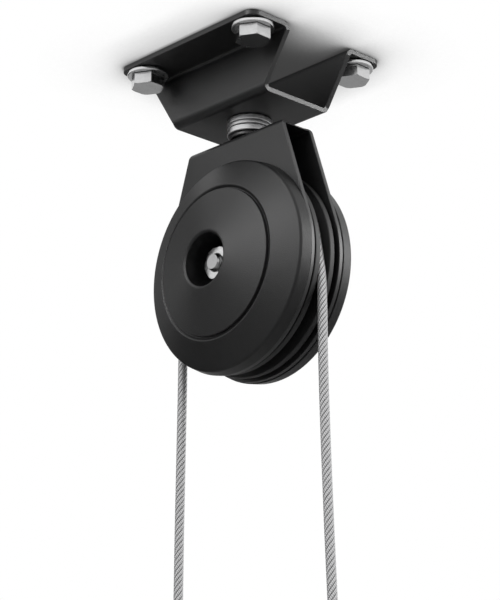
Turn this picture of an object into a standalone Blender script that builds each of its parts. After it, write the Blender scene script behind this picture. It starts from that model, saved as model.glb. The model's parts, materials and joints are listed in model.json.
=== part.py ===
"""Ceiling-mounted swivel cable pulley, one station of a cable gym.

Metres, +Z up. The origin is the middle of the bracket on the ceiling plane.
X runs along the bracket and the pulley's plane, Y along the pulley's axle.
The front of the pulley faces -Y.
"""

import math

import bmesh
import bpy
from mathutils import Matrix, Vector

OBJECT_NAME = "ceiling_swivel_pulley"

# Running gap between pieces that touch or turn on each other
GAP = 0.0003

# How far a cutting form reaches past what it cuts
CUT_MARGIN = 0.002

# Drawn size of the empties on the axes
AXIS_MARK_SIZE = 0.02

# Ceiling bracket, one bent plate with two flanges and a channel
PLATE = 0.003
BRACKET_LENGTH = 0.109
BRACKET_WIDTH = 0.1005
BRACKET_DROP = 0.0343
FLANGE_WIDTH = 0.02525
CHANNEL_WIDTH = BRACKET_WIDTH - 2 * FLANGE_WIDTH
CHANNEL_FOOT_LENGTH = 0.0745
BEND_RADIUS = 0.0017
FLANGE_CORNER_RADIUS = 0.006
FOOT_CORNER_RADIUS = 0.0015

# Ceiling fixings, with the edge left around them on the flanges
FIXING_EDGE_X = 0.0115
FIXING_EDGE_Y = 0.01165
FIXING_SPACING_X = BRACKET_LENGTH - 2 * FIXING_EDGE_X
FIXING_SPACING_Y = BRACKET_WIDTH - 2 * FIXING_EDGE_Y
FIXING_BOLT_LENGTH = 0.040
FIXING_HOLE_RADIUS = 0.0056
FIXING_BOLT_TURN = math.radians(30)

# Metric fasteners of the 10 mm size
SHANK_RADIUS = 0.005
HEX_FLATS = 0.017
HEAD_HEIGHT = 0.0064
NUT_FLATS = 0.017
NUT_HEIGHT = 0.008
LOCK_NUT_HEIGHT = 0.010
LOCK_COLLAR_HEIGHT = 0.0022
LOCK_COLLAR_CHAMFER = 0.0008
LOCK_COLLAR_RADIUS = 0.0075
THREAD_CHAMFER = 0.001
HEX_CHAMFER = math.radians(30)
HEX_FACE_SHARE = 0.475
BORE_RADIUS = SHANK_RADIUS + GAP
FIXING_WASHER_RADIUS = 0.0117
FIXING_WASHER_THICKNESS = 0.0022
WASHER_CHAMFER = 0.0005

# Polished rings between bracket and yoke
RING_RADIUS = 0.0126
UPPER_RING_HEIGHT = 0.0031
MIDDLE_RING_HEIGHT = 0.0021
LOWER_RING_HEIGHT = 0.0034
RING_CHAMFER = 0.0005
COLLAR_RADIUS = 0.0112
COLLAR_HEIGHT = 0.0021

# Thrust bearing and fixings of the swivel bolt
BUSH_WALL = 0.0017
THRUST_RADIUS = 0.012
THRUST_RACE_HEIGHT = 0.0026
THRUST_BALL_RADIUS = 0.002
THRUST_BALL_CIRCLE = 0.0086
THRUST_BALL_COUNT = 9
THRUST_CAGE_WIDTH = 0.0024
THRUST_CAGE_HEIGHT = 0.002
THRUST_RACE_SPACING = 0.0038
SWIVEL_WASHER_RADIUS = 0.010
SWIVEL_WASHER_THICKNESS = 0.0018
HEAD_WASHER_RADIUS = 0.0083
SWIVEL_BOLT_LENGTH = 0.045

# Yoke, one strap bent to an upside-down U whose cheeks end in round lobes
YOKE_PLATE = 0.0025
YOKE_WIDTH = 0.0235
YOKE_TOP_LENGTH = 0.0737
YOKE_BEND_RADIUS = 0.001
YOKE_CORNER_RADIUS = 0.0025
LOBE_RADIUS = 0.0590
AXLE_DROP = 0.0769

# Domed covers, moulded shells that stand a little over the lobes
COVER_OVERHANG = 0.0005
COVER_RADIUS = LOBE_RADIUS + COVER_OVERHANG
COVER_WALL = 0.0025
COVER_RIM_LIFT = GAP
COVER_DRAFT = 0.001
COVER_SHOULDER_RADIUS = 0.0022
COVER_SHOULDER_LIFT = 0.0072
COVER_GROOVE_RADIUS = 0.042
COVER_GROOVE_LIFT = 0.0151
COVER_GROOVE_WIDTH = 0.0020
COVER_GROOVE_DEPTH = 0.0014
COVER_GROOVE_TAPER = 0.8
COVER_HEIGHT = 0.0226

# Cup in the middle of each cover, whose flange holds the cover to the cheek
CUP_FLANGE_RADIUS = 0.0163
CUP_FLANGE = 0.0014
CUP_RADIUS = 0.0146
CUP_WALL = 0.001
CUP_FLOOR = 0.0025
CUP_LIP = 0.0014
CUP_LIP_INSET = 0.0005
CUP_TAPER = 0.0003

# Grooved wheel that carries the cable
SHEAVE_RADIUS = 0.0576
SHEAVE_WIDTH = 0.0142
RIM_FLAT = 0.0035
RIM_CHAMFER = 0.0005
WEB_THICKNESS = 0.008
WEB_DRAFT = 0.001
RIM_DEPTH = 0.014
HUB_RADIUS = 0.021
BEARING_LIP = 0.0011

# Ball bearing in the wheel
BEARING_RADIUS = 0.015
BEARING_WIDTH = 0.009
INNER_RACE_RADIUS = 0.008
OUTER_RACE_BORE = 0.0126
RACE_BALL_RADIUS = 0.0023
RACE_BALL_COUNT = 8
RACE_CAGE_WIDTH = 0.003
RACE_CAGE_THICKNESS = 0.0016
SHIELD_THICKNESS = 0.0005
SHIELD_INSET = 0.0003
AXLE_BOLT_LENGTH = 0.045
AXLE_WASHER_RADIUS = 0.010
AXLE_WASHER_THICKNESS = 0.002

# Wire rope and its end fittings
CABLE_RADIUS = 0.0026
CABLE_PITCH_RADIUS = 0.0512
LEAVING_ANGLE = math.radians(11)
WRAP_STEPS = 18
CABLE_ROUND_STEPS = 2
SLEEVE_LENGTH = 0.022
SLEEVE_RADIUS = 0.0046
SLEEVE_BEVEL = 0.0008
SLEEVE_WALL = 0.001
SLEEVE_SPREAD = 0.0032
EYE_RADIUS = 0.0115
EYE_DROP = 0.030
EYE_NECK = 0.002
THIMBLE_WALL = 0.0012
THIMBLE_WIDTH = 0.0068
THIMBLE_TIP = 0.0011
EYE_STEPS = 14
THIMBLE_STEPS = 14

# Route of each hanging run, x and z from the axle, from the wheel to its sleeve
RIGHT_RUN = [
    (0.0519, 0.0010), (0.0530, -0.0055), (0.0540, -0.0120), (0.0546, -0.0200),
    (0.05485, -0.0320), (0.0549, -0.0450), (0.0550, -0.0580), (0.0552, -0.0710),
    (0.0555, -0.0840), (0.0559, -0.0970), (0.0563, -0.1100), (0.0568, -0.1230),
    (0.0573, -0.1360), (0.0578, -0.1490), (0.0584, -0.1620), (0.0590, -0.1750),
    (0.0596, -0.1880),
]
LEFT_RUN = [
    (-0.0519, 0.0010), (-0.0530, -0.0060), (-0.0536, -0.0130), (-0.0540, -0.0220),
    (-0.0542, -0.0330), (-0.0543, -0.0450), (-0.0544, -0.0580), (-0.0546, -0.0710),
    (-0.0548, -0.0840), (-0.0550, -0.0970), (-0.0552, -0.1100), (-0.0554, -0.1230),
    (-0.0556, -0.1360), (-0.0557, -0.1490), (-0.0558, -0.1620), (-0.0559, -0.1750),
    (-0.0560, -0.1880),
]

# Roundness of turned pieces, and the steepest edge that is shaded smooth
SMOOTH_ANGLE = math.radians(46)
COVER_STEPS = 32
SHEAVE_STEPS = 32
RING_STEPS = 24
LOBE_STEPS = 36
WASHER_STEPS = 20
SMALL_STEPS = 16
HIDDEN_STEPS = 12

# Heights worked out from the sizes above, downwards from the ceiling
FOOT_BOTTOM = -BRACKET_DROP
FOOT_TOP = FOOT_BOTTOM + PLATE
UPPER_RING_TOP = FOOT_BOTTOM - GAP
MIDDLE_RING_TOP = UPPER_RING_TOP - UPPER_RING_HEIGHT - GAP
LOWER_RING_TOP = MIDDLE_RING_TOP - MIDDLE_RING_HEIGHT - GAP
COLLAR_TOP = LOWER_RING_TOP - LOWER_RING_HEIGHT - GAP
YOKE_TOP = COLLAR_TOP - COLLAR_HEIGHT - GAP
AXLE_Z = YOKE_TOP - AXLE_DROP
CHEEK_OUTER = YOKE_WIDTH / 2
CHEEK_INNER = CHEEK_OUTER - YOKE_PLATE

# Turns of a piece made about Z, as Euler angles
UNTURNED = (0, 0, 0)
TO_FRONT = (math.pi / 2, 0, 0)
TO_REAR = (-math.pi / 2, 0, 0)
UPSIDE_DOWN = (math.pi, 0, 0)

# Finishes as name, colour, roughness and metallic value
STEEL = ("polished_steel", (0.62, 0.62, 0.63), 0.25, 1.0)
ZINC = ("zinc_plated_steel", (0.66, 0.67, 0.68), 0.32, 1.0)
BLACK_COAT = ("black_powder_coat", (0.030, 0.030, 0.032), 0.55, 0.0)
BLACK_MOULDING = ("black_moulding", (0.040, 0.040, 0.042), 0.60, 0.0)
BLACK_NYLON = ("black_nylon", (0.030, 0.030, 0.032), 0.45, 0.0)
ROPE_STEEL = ("rope_steel", (0.48, 0.48, 0.49), 0.38, 1.0)
BRONZE = ("bronze", (0.45, 0.30, 0.14), 0.35, 1.0)
BEARING_STEEL = ("bearing_steel", (0.55, 0.56, 0.58), 0.18, 1.0)


def clear_scene():
    """Remove what the file holds, so that only the pulley is in it."""
    for thing in list(bpy.data.objects):
        bpy.data.objects.remove(thing, do_unlink=True)
    for group in list(bpy.data.collections):
        bpy.data.collections.remove(group)


def new_collection(name):
    group = bpy.data.collections.new(name)
    bpy.context.scene.collection.children.link(group)
    return group


def finish_material(finish):
    name, colour, roughness, metallic = finish
    material = bpy.data.materials.get(name)
    if material is None:
        material = bpy.data.materials.new(name)
        material.use_nodes = True
        shader = material.node_tree.nodes["Principled BSDF"]
        shader.inputs["Base Color"].default_value = (*colour, 1.0)
        shader.inputs["Roughness"].default_value = roughness
        shader.inputs["Metallic"].default_value = metallic
        material.diffuse_color = (*colour, 1.0)
    return material


def place(mesh, name, group, finish=None, location=(0, 0, 0), rotation=(0, 0, 0), parent=None):
    """Put a mesh in the scene as an object of its own."""
    piece = bpy.data.objects.new(name, mesh)
    group.objects.link(piece)
    piece.location = location
    piece.rotation_euler = rotation
    piece.parent = parent
    if finish is not None and not mesh.materials:
        mesh.materials.append(finish_material(finish))
    return piece


def empty(name, group, location, parent=None):
    marker = bpy.data.objects.new(name, None)
    marker.empty_display_size = AXIS_MARK_SIZE
    group.objects.link(marker)
    marker.location = location
    marker.parent = parent
    return marker


def smooth(mesh):
    """Shade smooth across shallow edges only."""
    mesh.shade_smooth()
    mesh.set_sharp_from_angle(angle=SMOOTH_ANGLE)


def baked(piece, name):
    """Mesh of an object as its modifiers leave it, in the object's own space."""
    graph = bpy.context.evaluated_depsgraph_get()
    mesh = bpy.data.meshes.new_from_object(piece.evaluated_get(graph))
    mesh.name = name
    return mesh


def discard(*pieces):
    for piece in pieces:
        bpy.data.objects.remove(piece, do_unlink=True)


def turned_mesh(name, profile, steps, closed=True):
    """Turn a profile of (radius, height) points about Z; it runs down its outer side.

    A closed profile is a ring. An open one starts and ends on the axis and is solid.
    """
    bm = bmesh.new()
    verts = [bm.verts.new((radius, 0, height)) for radius, height in profile]
    for start, end in zip(verts, verts[1:]):
        bm.edges.new((start, end))
    if closed:
        bm.edges.new((verts[-1], verts[0]))
    mesh = bpy.data.meshes.new(name)
    bm.to_mesh(mesh)
    bm.free()
    turning = bpy.data.objects.new(name, mesh)
    bpy.context.scene.collection.objects.link(turning)
    screw = turning.modifiers.new("turn", "SCREW")
    screw.axis = "Z"
    screw.steps = steps
    screw.render_steps = steps
    screw.use_merge_vertices = True
    screw.merge_threshold = 0.00001
    solid = baked(turning, name)
    discard(turning)
    bpy.data.meshes.remove(mesh)
    weld(solid)
    smooth(solid)
    return solid


def outline_mesh(name, points, depth):
    """A flat outline of (x, y) points made depth thick about Z = 0."""
    curve = bpy.data.curves.new(name, "CURVE")
    curve.dimensions = "2D"
    curve.fill_mode = "BOTH"
    curve.extrude = depth / 2
    spline = curve.splines.new("POLY")
    spline.points.add(len(points) - 1)
    for spot, (x, y) in zip(spline.points, points):
        spot.co = (x, y, 0, 1)
    spline.use_cyclic_u = True
    drawing = bpy.data.objects.new(name, curve)
    bpy.context.scene.collection.objects.link(drawing)
    mesh = baked(drawing, name)
    discard(drawing)
    bpy.data.curves.remove(curve)
    weld(mesh)
    return mesh


def tube_mesh(name, points, radius):
    """A round tube along points in space, with closed ends."""
    curve = bpy.data.curves.new(name, "CURVE")
    curve.dimensions = "3D"
    curve.bevel_depth = radius
    curve.bevel_resolution = CABLE_ROUND_STEPS
    curve.use_fill_caps = True
    spline = curve.splines.new("POLY")
    spline.points.add(len(points) - 1)
    for spot, point in zip(spline.points, points):
        spot.co = (*point, 1)
    drawing = bpy.data.objects.new(name, curve)
    bpy.context.scene.collection.objects.link(drawing)
    mesh = baked(drawing, name)
    discard(drawing)
    bpy.data.curves.remove(curve)
    weld(mesh)
    smooth(mesh)
    return mesh


def weld(mesh):
    """Join a mesh's loose caps and turn its faces outwards."""
    bm = bmesh.new()
    bm.from_mesh(mesh)
    bmesh.ops.remove_doubles(bm, verts=bm.verts, dist=0.000005)
    bmesh.ops.dissolve_degenerate(bm, edges=bm.edges, dist=0.000005)
    bmesh.ops.recalc_face_normals(bm, faces=bm.faces)
    bm.to_mesh(mesh)
    bm.free()


def ball_mesh(name, radius, segments=6, rings=4):
    bm = bmesh.new()
    bmesh.ops.create_uvsphere(bm, u_segments=segments, v_segments=rings, radius=radius)
    mesh = bpy.data.meshes.new(name)
    bm.to_mesh(mesh)
    bm.free()
    return mesh


def rod_mesh(name, radius, bottom, top, sides):
    """A plain cylinder about Z between two heights."""
    bm = bmesh.new()
    bmesh.ops.create_cone(bm, cap_ends=True, segments=sides, radius1=radius, radius2=radius,
                          depth=top - bottom)
    bmesh.ops.translate(bm, verts=bm.verts, vec=(0, 0, (top + bottom) / 2))
    mesh = bpy.data.meshes.new(name)
    bm.to_mesh(mesh)
    bm.free()
    return mesh


def arc(centre, radius, start, end, steps):
    """Points on an arc between two angles in degrees."""
    spots = []
    for step in range(steps + 1):
        angle = math.radians(start + (end - start) * step / steps)
        spots.append((centre[0] + radius * math.cos(angle), centre[1] + radius * math.sin(angle)))
    return spots


def rounded(points, radii, steps, closed=False):
    """A path with each corner rounded to its radius; a radius of 0 keeps the corner sharp."""
    path = []
    count = len(points)
    for index, radius in enumerate(radii):
        here = Vector(points[index])
        if radius == 0:
            path.append(tuple(here))
            continue
        before = (Vector(points[index - 1]) - here).normalized()
        after = (Vector(points[(index + 1) % count]) - here).normalized()
        half = before.angle(after) / 2
        centre = here + (before + after).normalized() * (radius / math.sin(half))
        start = here + before * (radius / math.tan(half)) - centre
        sweep = math.pi - 2 * half
        if start.x * (-before.y) - start.y * (-before.x) < 0:
            sweep = -sweep
        for step in range(steps + 1):
            turn = Matrix.Rotation(sweep * step / steps, 2)
            path.append(tuple(centre + turn @ start))
    return path


def combine(piece, tool, operation):
    step = piece.modifiers.new(operation.lower(), "BOOLEAN")
    step.operation = operation
    step.object = tool
    step.solver = "EXACT"
    return step


class Workshop:
    """The two collections, and the ways that pieces and cutters get into them."""

    def __init__(self):
        self.parts = new_collection(OBJECT_NAME)
        self.cutters = new_collection("cutters")
        self.swivel_axis = empty("swivel_axis", self.parts, (0, 0, 0))
        self.axle_axis = empty("axle_axis", self.parts, (0, 0, AXLE_Z), self.swivel_axis)

    def fixed(self, mesh, name, finish, location=(0, 0, 0), rotation=(0, 0, 0)):
        """A piece that stays with the bracket."""
        return place(mesh, name, self.parts, finish, location, rotation)

    def swivelling(self, mesh, name, finish, location=(0, 0, 0), rotation=(0, 0, 0)):
        """A piece that turns with the yoke about the vertical axis."""
        return place(mesh, name, self.parts, finish, location, rotation, self.swivel_axis)

    def rolling(self, mesh, name, finish):
        """A piece turned about the axle, which lies along Y."""
        return place(mesh, name, self.parts, finish, rotation=TO_REAR, parent=self.axle_axis)

    def cutter(self, mesh, name, location=(0, 0, 0), rotation=(0, 0, 0)):
        """A form that is only taken away from a piece or kept inside it."""
        tool = place(mesh, name, self.cutters, None, location, rotation)
        tool.hide_render = True
        tool.display_type = "WIRE"
        return tool

    def joined_mesh(self, name, base, steps):
        """Mesh of base after Boolean steps of (operation, mesh, location, rotation)."""
        body = place(base, name, self.cutters)
        tools = []
        for operation, mesh, location, rotation in steps:
            tool = place(mesh, name + "_tool", self.cutters, None, location, rotation)
            combine(body, tool, operation)
            tools.append(tool)
        mesh = baked(body, name)
        discard(body, *tools)
        smooth(mesh)
        return mesh


def hex_outline(flats):
    """Corners of a hexagon with two flats parallel to X."""
    corner = flats / math.sqrt(3)
    return [(corner * math.cos(math.radians(60 * k)), corner * math.sin(math.radians(60 * k)))
            for k in range(6)]


def hex_prism(name, flats, bottom, top):
    mesh = outline_mesh(name, hex_outline(flats), top - bottom)
    mesh.transform(Matrix.Translation((0, 0, (top + bottom) / 2)))
    return mesh


def chamfer_form(flats, bottom, top, at_bottom, at_top):
    """Turned form that cuts a hexagon to its height and takes its corners off at 30 degrees."""
    wide = flats / math.sqrt(3) + CUT_MARGIN
    face = flats * HEX_FACE_SHARE
    drop = (wide - face) * math.tan(HEX_CHAMFER)
    profile = [(0, top)]
    profile += [(face, top), (wide, top - drop)] if at_top else [(wide, top)]
    profile += [(wide, bottom + drop), (face, bottom)] if at_bottom else [(wide, bottom)]
    profile += [(0, bottom)]
    return turned_mesh("chamfer", profile, SMALL_STEPS, closed=False)


def bolt_mesh(shop, name, length):
    """Hexagon bolt: the head's bearing face is at 0, the head above it, the shank below."""
    head = hex_prism(name, HEX_FLATS, -CUT_MARGIN, HEAD_HEIGHT + CUT_MARGIN)
    shank_profile = [(0, HEAD_HEIGHT / 2), (SHANK_RADIUS, HEAD_HEIGHT / 2),
                     (SHANK_RADIUS, THREAD_CHAMFER - length),
                     (SHANK_RADIUS - THREAD_CHAMFER, -length), (0, -length)]
    shank = turned_mesh("shank", shank_profile, SMALL_STEPS, closed=False)
    chamfer = chamfer_form(HEX_FLATS, 0, HEAD_HEIGHT, False, True)
    return shop.joined_mesh(name, head, [
        ("INTERSECT", chamfer, UNTURNED, UNTURNED),
        ("UNION", shank, UNTURNED, UNTURNED),
    ])


def nut_mesh(shop, name, height):
    """Plain hexagon nut standing on Z = 0, with its bore."""
    block = hex_prism(name, NUT_FLATS, -CUT_MARGIN, height + CUT_MARGIN)
    chamfer = chamfer_form(NUT_FLATS, 0, height, True, True)
    bore = rod_mesh("bore", BORE_RADIUS, -CUT_MARGIN, height + CUT_MARGIN, SMALL_STEPS)
    return shop.joined_mesh(name, block, [
        ("INTERSECT", chamfer, UNTURNED, UNTURNED),
        ("DIFFERENCE", bore, UNTURNED, UNTURNED),
    ])


def lock_nut_mesh(shop, name):
    """Nut with a round collar on top that holds its locking ring."""
    hex_height = LOCK_NUT_HEIGHT - LOCK_COLLAR_HEIGHT
    block = hex_prism(name, NUT_FLATS, -CUT_MARGIN, LOCK_NUT_HEIGHT)
    chamfer = chamfer_form(NUT_FLATS, 0, hex_height, True, True)
    collar = turned_mesh("collar", [(0, LOCK_NUT_HEIGHT),
                                    (LOCK_COLLAR_RADIUS - LOCK_COLLAR_CHAMFER, LOCK_NUT_HEIGHT),
                                    (LOCK_COLLAR_RADIUS, LOCK_NUT_HEIGHT - LOCK_COLLAR_CHAMFER),
                                    (LOCK_COLLAR_RADIUS, hex_height / 2), (0, hex_height / 2)],
                         SMALL_STEPS, closed=False)
    bore = rod_mesh("bore", BORE_RADIUS, -CUT_MARGIN, LOCK_NUT_HEIGHT + CUT_MARGIN, SMALL_STEPS)
    return shop.joined_mesh(name, block, [
        ("INTERSECT", chamfer, UNTURNED, UNTURNED),
        ("UNION", collar, UNTURNED, UNTURNED),
        ("DIFFERENCE", bore, UNTURNED, UNTURNED),
    ])


def ring_mesh(name, bore, outer, height, steps, chamfer=0.0):
    """Flat ring standing on Z = 0, with its outer edges chamfered."""
    if chamfer:
        side = [(outer - chamfer, height), (outer, height - chamfer), (outer, chamfer),
                (outer - chamfer, 0)]
    else:
        side = [(outer, height), (outer, 0)]
    return turned_mesh(name, [(bore, height)] + side + [(bore, 0)], steps)


def cage_mesh(shop, name, ball_radius, ball_circle, balls, width, height, steps):
    """Ring that carries a bearing's balls, with the balls in it, about Z = 0."""
    ring = ring_mesh(name, ball_circle - width / 2, ball_circle + width / 2, height, steps)
    ring.transform(Matrix.Translation((0, 0, -height / 2)))
    unions = []
    for index in range(balls):
        angle = 2 * math.pi * index / balls
        spot = (ball_circle * math.cos(angle), ball_circle * math.sin(angle), 0)
        unions.append(("UNION", ball_mesh("ball", ball_radius), spot, (0, 0, angle)))
    return shop.joined_mesh(name, ring, unions)


def ceiling_bracket(shop):
    """Bent plate: flanges on the ceiling, webs down, and a foot plate that carries the swivel."""
    inner_half = CHANNEL_WIDTH / 2 - PLATE
    half_width = BRACKET_WIDTH / 2
    corners = [(-half_width, 0), (-inner_half, 0), (-inner_half, FOOT_TOP),
               (inner_half, FOOT_TOP), (inner_half, 0), (half_width, 0)]
    outer_bend = BEND_RADIUS + PLATE
    path = rounded(corners, [0, outer_bend, BEND_RADIUS, BEND_RADIUS, outer_bend, 0], 5)
    sheet = extruded_sheet("ceiling_bracket", path, BRACKET_LENGTH + 2 * CUT_MARGIN)
    bracket = shop.fixed(sheet, "ceiling_bracket", BLACK_COAT)
    wall = bracket.modifiers.new("wall", "SOLIDIFY")
    wall.thickness = PLATE
    wall.offset = -1
    wall.use_even_offset = True

    side = outline_mesh("bracket_side_form", side_outline(), BRACKET_WIDTH + 2 * CUT_MARGIN)
    side_tool = shop.cutter(side, "bracket_side_form", rotation=TO_FRONT)
    combine(bracket, side_tool, "INTERSECT")
    half_length = BRACKET_LENGTH / 2
    plan = rounded([(-half_length, -half_width), (half_length, -half_width),
                    (half_length, half_width), (-half_length, half_width)],
                   [FLANGE_CORNER_RADIUS] * 4, 5, closed=True)
    plan_form = outline_mesh("bracket_plan_form", plan, 2 * (BRACKET_DROP + CUT_MARGIN))
    plan_tool = shop.cutter(plan_form, "bracket_plan_form")
    combine(bracket, plan_tool, "INTERSECT")
    for number, (x, y) in enumerate(fixing_places(), 1):
        hole = rod_mesh("fixing_hole", FIXING_HOLE_RADIUS, -PLATE - CUT_MARGIN, CUT_MARGIN,
                        SMALL_STEPS)
        combine(bracket, shop.cutter(hole, f"fixing_hole_{number}", location=(x, y, 0)), "DIFFERENCE")
    bush_hole = rod_mesh("bush_hole", BORE_RADIUS + BUSH_WALL + GAP, FOOT_BOTTOM - CUT_MARGIN,
                         FOOT_TOP + CUT_MARGIN, SMALL_STEPS)
    combine(bracket, shop.cutter(bush_hole, "bush_hole"), "DIFFERENCE")
    return bracket


def side_outline():
    """The bracket seen from the front: flanges full length, webs tapering to the foot."""
    half_length = BRACKET_LENGTH / 2
    half_foot = CHANNEL_FOOT_LENGTH / 2
    bend_end = -PLATE - BEND_RADIUS
    corners = [(-half_length, CUT_MARGIN), (-half_length, bend_end), (-half_foot, FOOT_BOTTOM),
               (half_foot, FOOT_BOTTOM), (half_length, bend_end), (half_length, CUT_MARGIN)]
    return rounded(corners, [0, 0, FOOT_CORNER_RADIUS, FOOT_CORNER_RADIUS, 0, 0], 4)


def extruded_sheet(name, path, length):
    """Open surface: a path of (y, z) points drawn along X."""
    bm = bmesh.new()
    left = [bm.verts.new((-length / 2, y, z)) for y, z in path]
    edges = [bm.edges.new(pair) for pair in zip(left, left[1:])]
    drawn = bmesh.ops.extrude_edge_only(bm, edges=edges)
    moved = [item for item in drawn["geom"] if isinstance(item, bmesh.types.BMVert)]
    bmesh.ops.translate(bm, verts=moved, vec=(length, 0, 0))
    mesh = bpy.data.meshes.new(name)
    bm.to_mesh(mesh)
    bm.free()
    return mesh


def fixing_places():
    return [(sx * FIXING_SPACING_X / 2, sy * FIXING_SPACING_Y / 2)
            for sx in (1, -1) for sy in (-1, 1)]


def ceiling_fixings(shop):
    """Four hexagon bolts with thick washers that hold the flanges to the ceiling."""
    washer = ring_mesh("ceiling_washer", BORE_RADIUS, FIXING_WASHER_RADIUS,
                       FIXING_WASHER_THICKNESS, WASHER_STEPS, WASHER_CHAMFER)
    bolt = bolt_mesh(shop, "ceiling_bolt", FIXING_BOLT_LENGTH)
    washer_bottom = -PLATE - GAP - FIXING_WASHER_THICKNESS
    head_seat = washer_bottom - GAP
    for number, (x, y) in enumerate(fixing_places(), 1):
        shop.fixed(washer, f"ceiling_washer_{number}", ZINC, (x, y, washer_bottom))
        shop.fixed(bolt, f"ceiling_bolt_{number}", ZINC, (x, y, head_seat),
                   (math.pi, 0, FIXING_BOLT_TURN))


def swivel(shop):
    """Polished rings under the bracket, and the bolt, bearing and nut that carry the yoke."""
    bush = ring_mesh("swivel_bush", BORE_RADIUS, BORE_RADIUS + BUSH_WALL, PLATE, HIDDEN_STEPS)
    shop.fixed(bush, "swivel_bush", BRONZE, (0, 0, FOOT_BOTTOM))
    upper = shim_mesh("upper_ring", RING_RADIUS, UPPER_RING_HEIGHT)
    shop.fixed(upper, "upper_ring", STEEL, (0, 0, UPPER_RING_TOP - UPPER_RING_HEIGHT))
    middle = shim_mesh("middle_ring", RING_RADIUS, MIDDLE_RING_HEIGHT)
    shop.swivelling(middle, "middle_ring", STEEL, (0, 0, MIDDLE_RING_TOP - MIDDLE_RING_HEIGHT))
    lower = shim_mesh("lower_ring", RING_RADIUS, LOWER_RING_HEIGHT)
    shop.swivelling(lower, "lower_ring", STEEL, (0, 0, LOWER_RING_TOP - LOWER_RING_HEIGHT))
    collar = shim_mesh("yoke_collar", COLLAR_RADIUS, COLLAR_HEIGHT)
    shop.swivelling(collar, "yoke_collar", BLACK_COAT, (0, 0, COLLAR_TOP - COLLAR_HEIGHT))

    ball_plane = FOOT_TOP + GAP + THRUST_RACE_HEIGHT + THRUST_RACE_SPACING / 2
    thrust_bearing(shop, ball_plane)
    washer_bottom = ball_plane + THRUST_RACE_SPACING / 2 + THRUST_RACE_HEIGHT + GAP
    washer = ring_mesh("swivel_nut_washer", BORE_RADIUS, SWIVEL_WASHER_RADIUS,
                       SWIVEL_WASHER_THICKNESS, SMALL_STEPS)
    shop.swivelling(washer, "swivel_nut_washer", ZINC, (0, 0, washer_bottom))
    nut_bottom = washer_bottom + SWIVEL_WASHER_THICKNESS + GAP
    shop.swivelling(lock_nut_mesh(shop, "swivel_lock_nut"), "swivel_lock_nut", ZINC,
                    (0, 0, nut_bottom))

    head_washer_bottom = YOKE_TOP - YOKE_PLATE - GAP - SWIVEL_WASHER_THICKNESS
    head_washer = ring_mesh("swivel_head_washer", BORE_RADIUS, HEAD_WASHER_RADIUS,
                            SWIVEL_WASHER_THICKNESS, SMALL_STEPS)
    shop.swivelling(head_washer, "swivel_head_washer", ZINC, (0, 0, head_washer_bottom))
    bolt = bolt_mesh(shop, "swivel_bolt", SWIVEL_BOLT_LENGTH)
    shop.swivelling(bolt, "swivel_bolt", ZINC, (0, 0, head_washer_bottom - GAP), UPSIDE_DOWN)


def shim_mesh(name, radius, height):
    return ring_mesh(name, BORE_RADIUS, radius, height, RING_STEPS, RING_CHAMFER)


def thrust_bearing(shop, ball_plane):
    """Two grooved races and a ball cage; the upper race rests on the balls and turns."""
    lower = thrust_race_mesh("thrust_lower_race", BORE_RADIUS + GAP, THRUST_RADIUS)
    shop.fixed(lower, "thrust_lower_race", BEARING_STEEL, (0, 0, ball_plane))
    cage = cage_mesh(shop, "thrust_ball_cage", THRUST_BALL_RADIUS, THRUST_BALL_CIRCLE,
                     THRUST_BALL_COUNT, THRUST_CAGE_WIDTH, THRUST_CAGE_HEIGHT, HIDDEN_STEPS)
    shop.swivelling(cage, "thrust_ball_cage", BRONZE, (0, 0, ball_plane))
    upper = thrust_race_mesh("thrust_upper_race", BORE_RADIUS, THRUST_RADIUS)
    shop.swivelling(upper, "thrust_upper_race", BEARING_STEEL, (0, 0, ball_plane), UPSIDE_DOWN)


def thrust_race_mesh(name, bore, outer):
    """Flat race below the plane of the balls, with the groove they run in."""
    face = -THRUST_RACE_SPACING / 2
    track = THRUST_BALL_RADIUS + GAP
    half = math.sqrt(track ** 2 - face ** 2)
    spread = math.degrees(math.asin(half / track))
    groove = arc((THRUST_BALL_CIRCLE, 0), track, 270 - spread, 270 + spread, 3)
    bottom = face - THRUST_RACE_HEIGHT
    profile = [(bore, face)] + groove + [(outer, face), (outer, bottom), (bore, bottom)]
    return turned_mesh(name, profile, HIDDEN_STEPS)


def tangent_angle(across, along, radius):
    """Angle at which a line from a point beside a circle's axis touches the circle."""
    reach = math.hypot(across, along)
    return math.degrees(math.atan2(along, across) - math.acos(radius / reach))


def cheek_outline():
    """Cheek seen from the front: top edge, straight sides that run tangent into the lobe."""
    half_top = YOKE_TOP_LENGTH / 2
    lean = tangent_angle(half_top, AXLE_DROP, LOBE_RADIUS)
    lobe = arc((0, AXLE_Z), LOBE_RADIUS, lean, -180 - lean, LOBE_STEPS)
    path = [(-half_top, YOKE_TOP), (half_top, YOKE_TOP)] + lobe
    return rounded(path, [YOKE_CORNER_RADIUS] * 2 + [0] * len(lobe), 4, closed=True)


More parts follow.
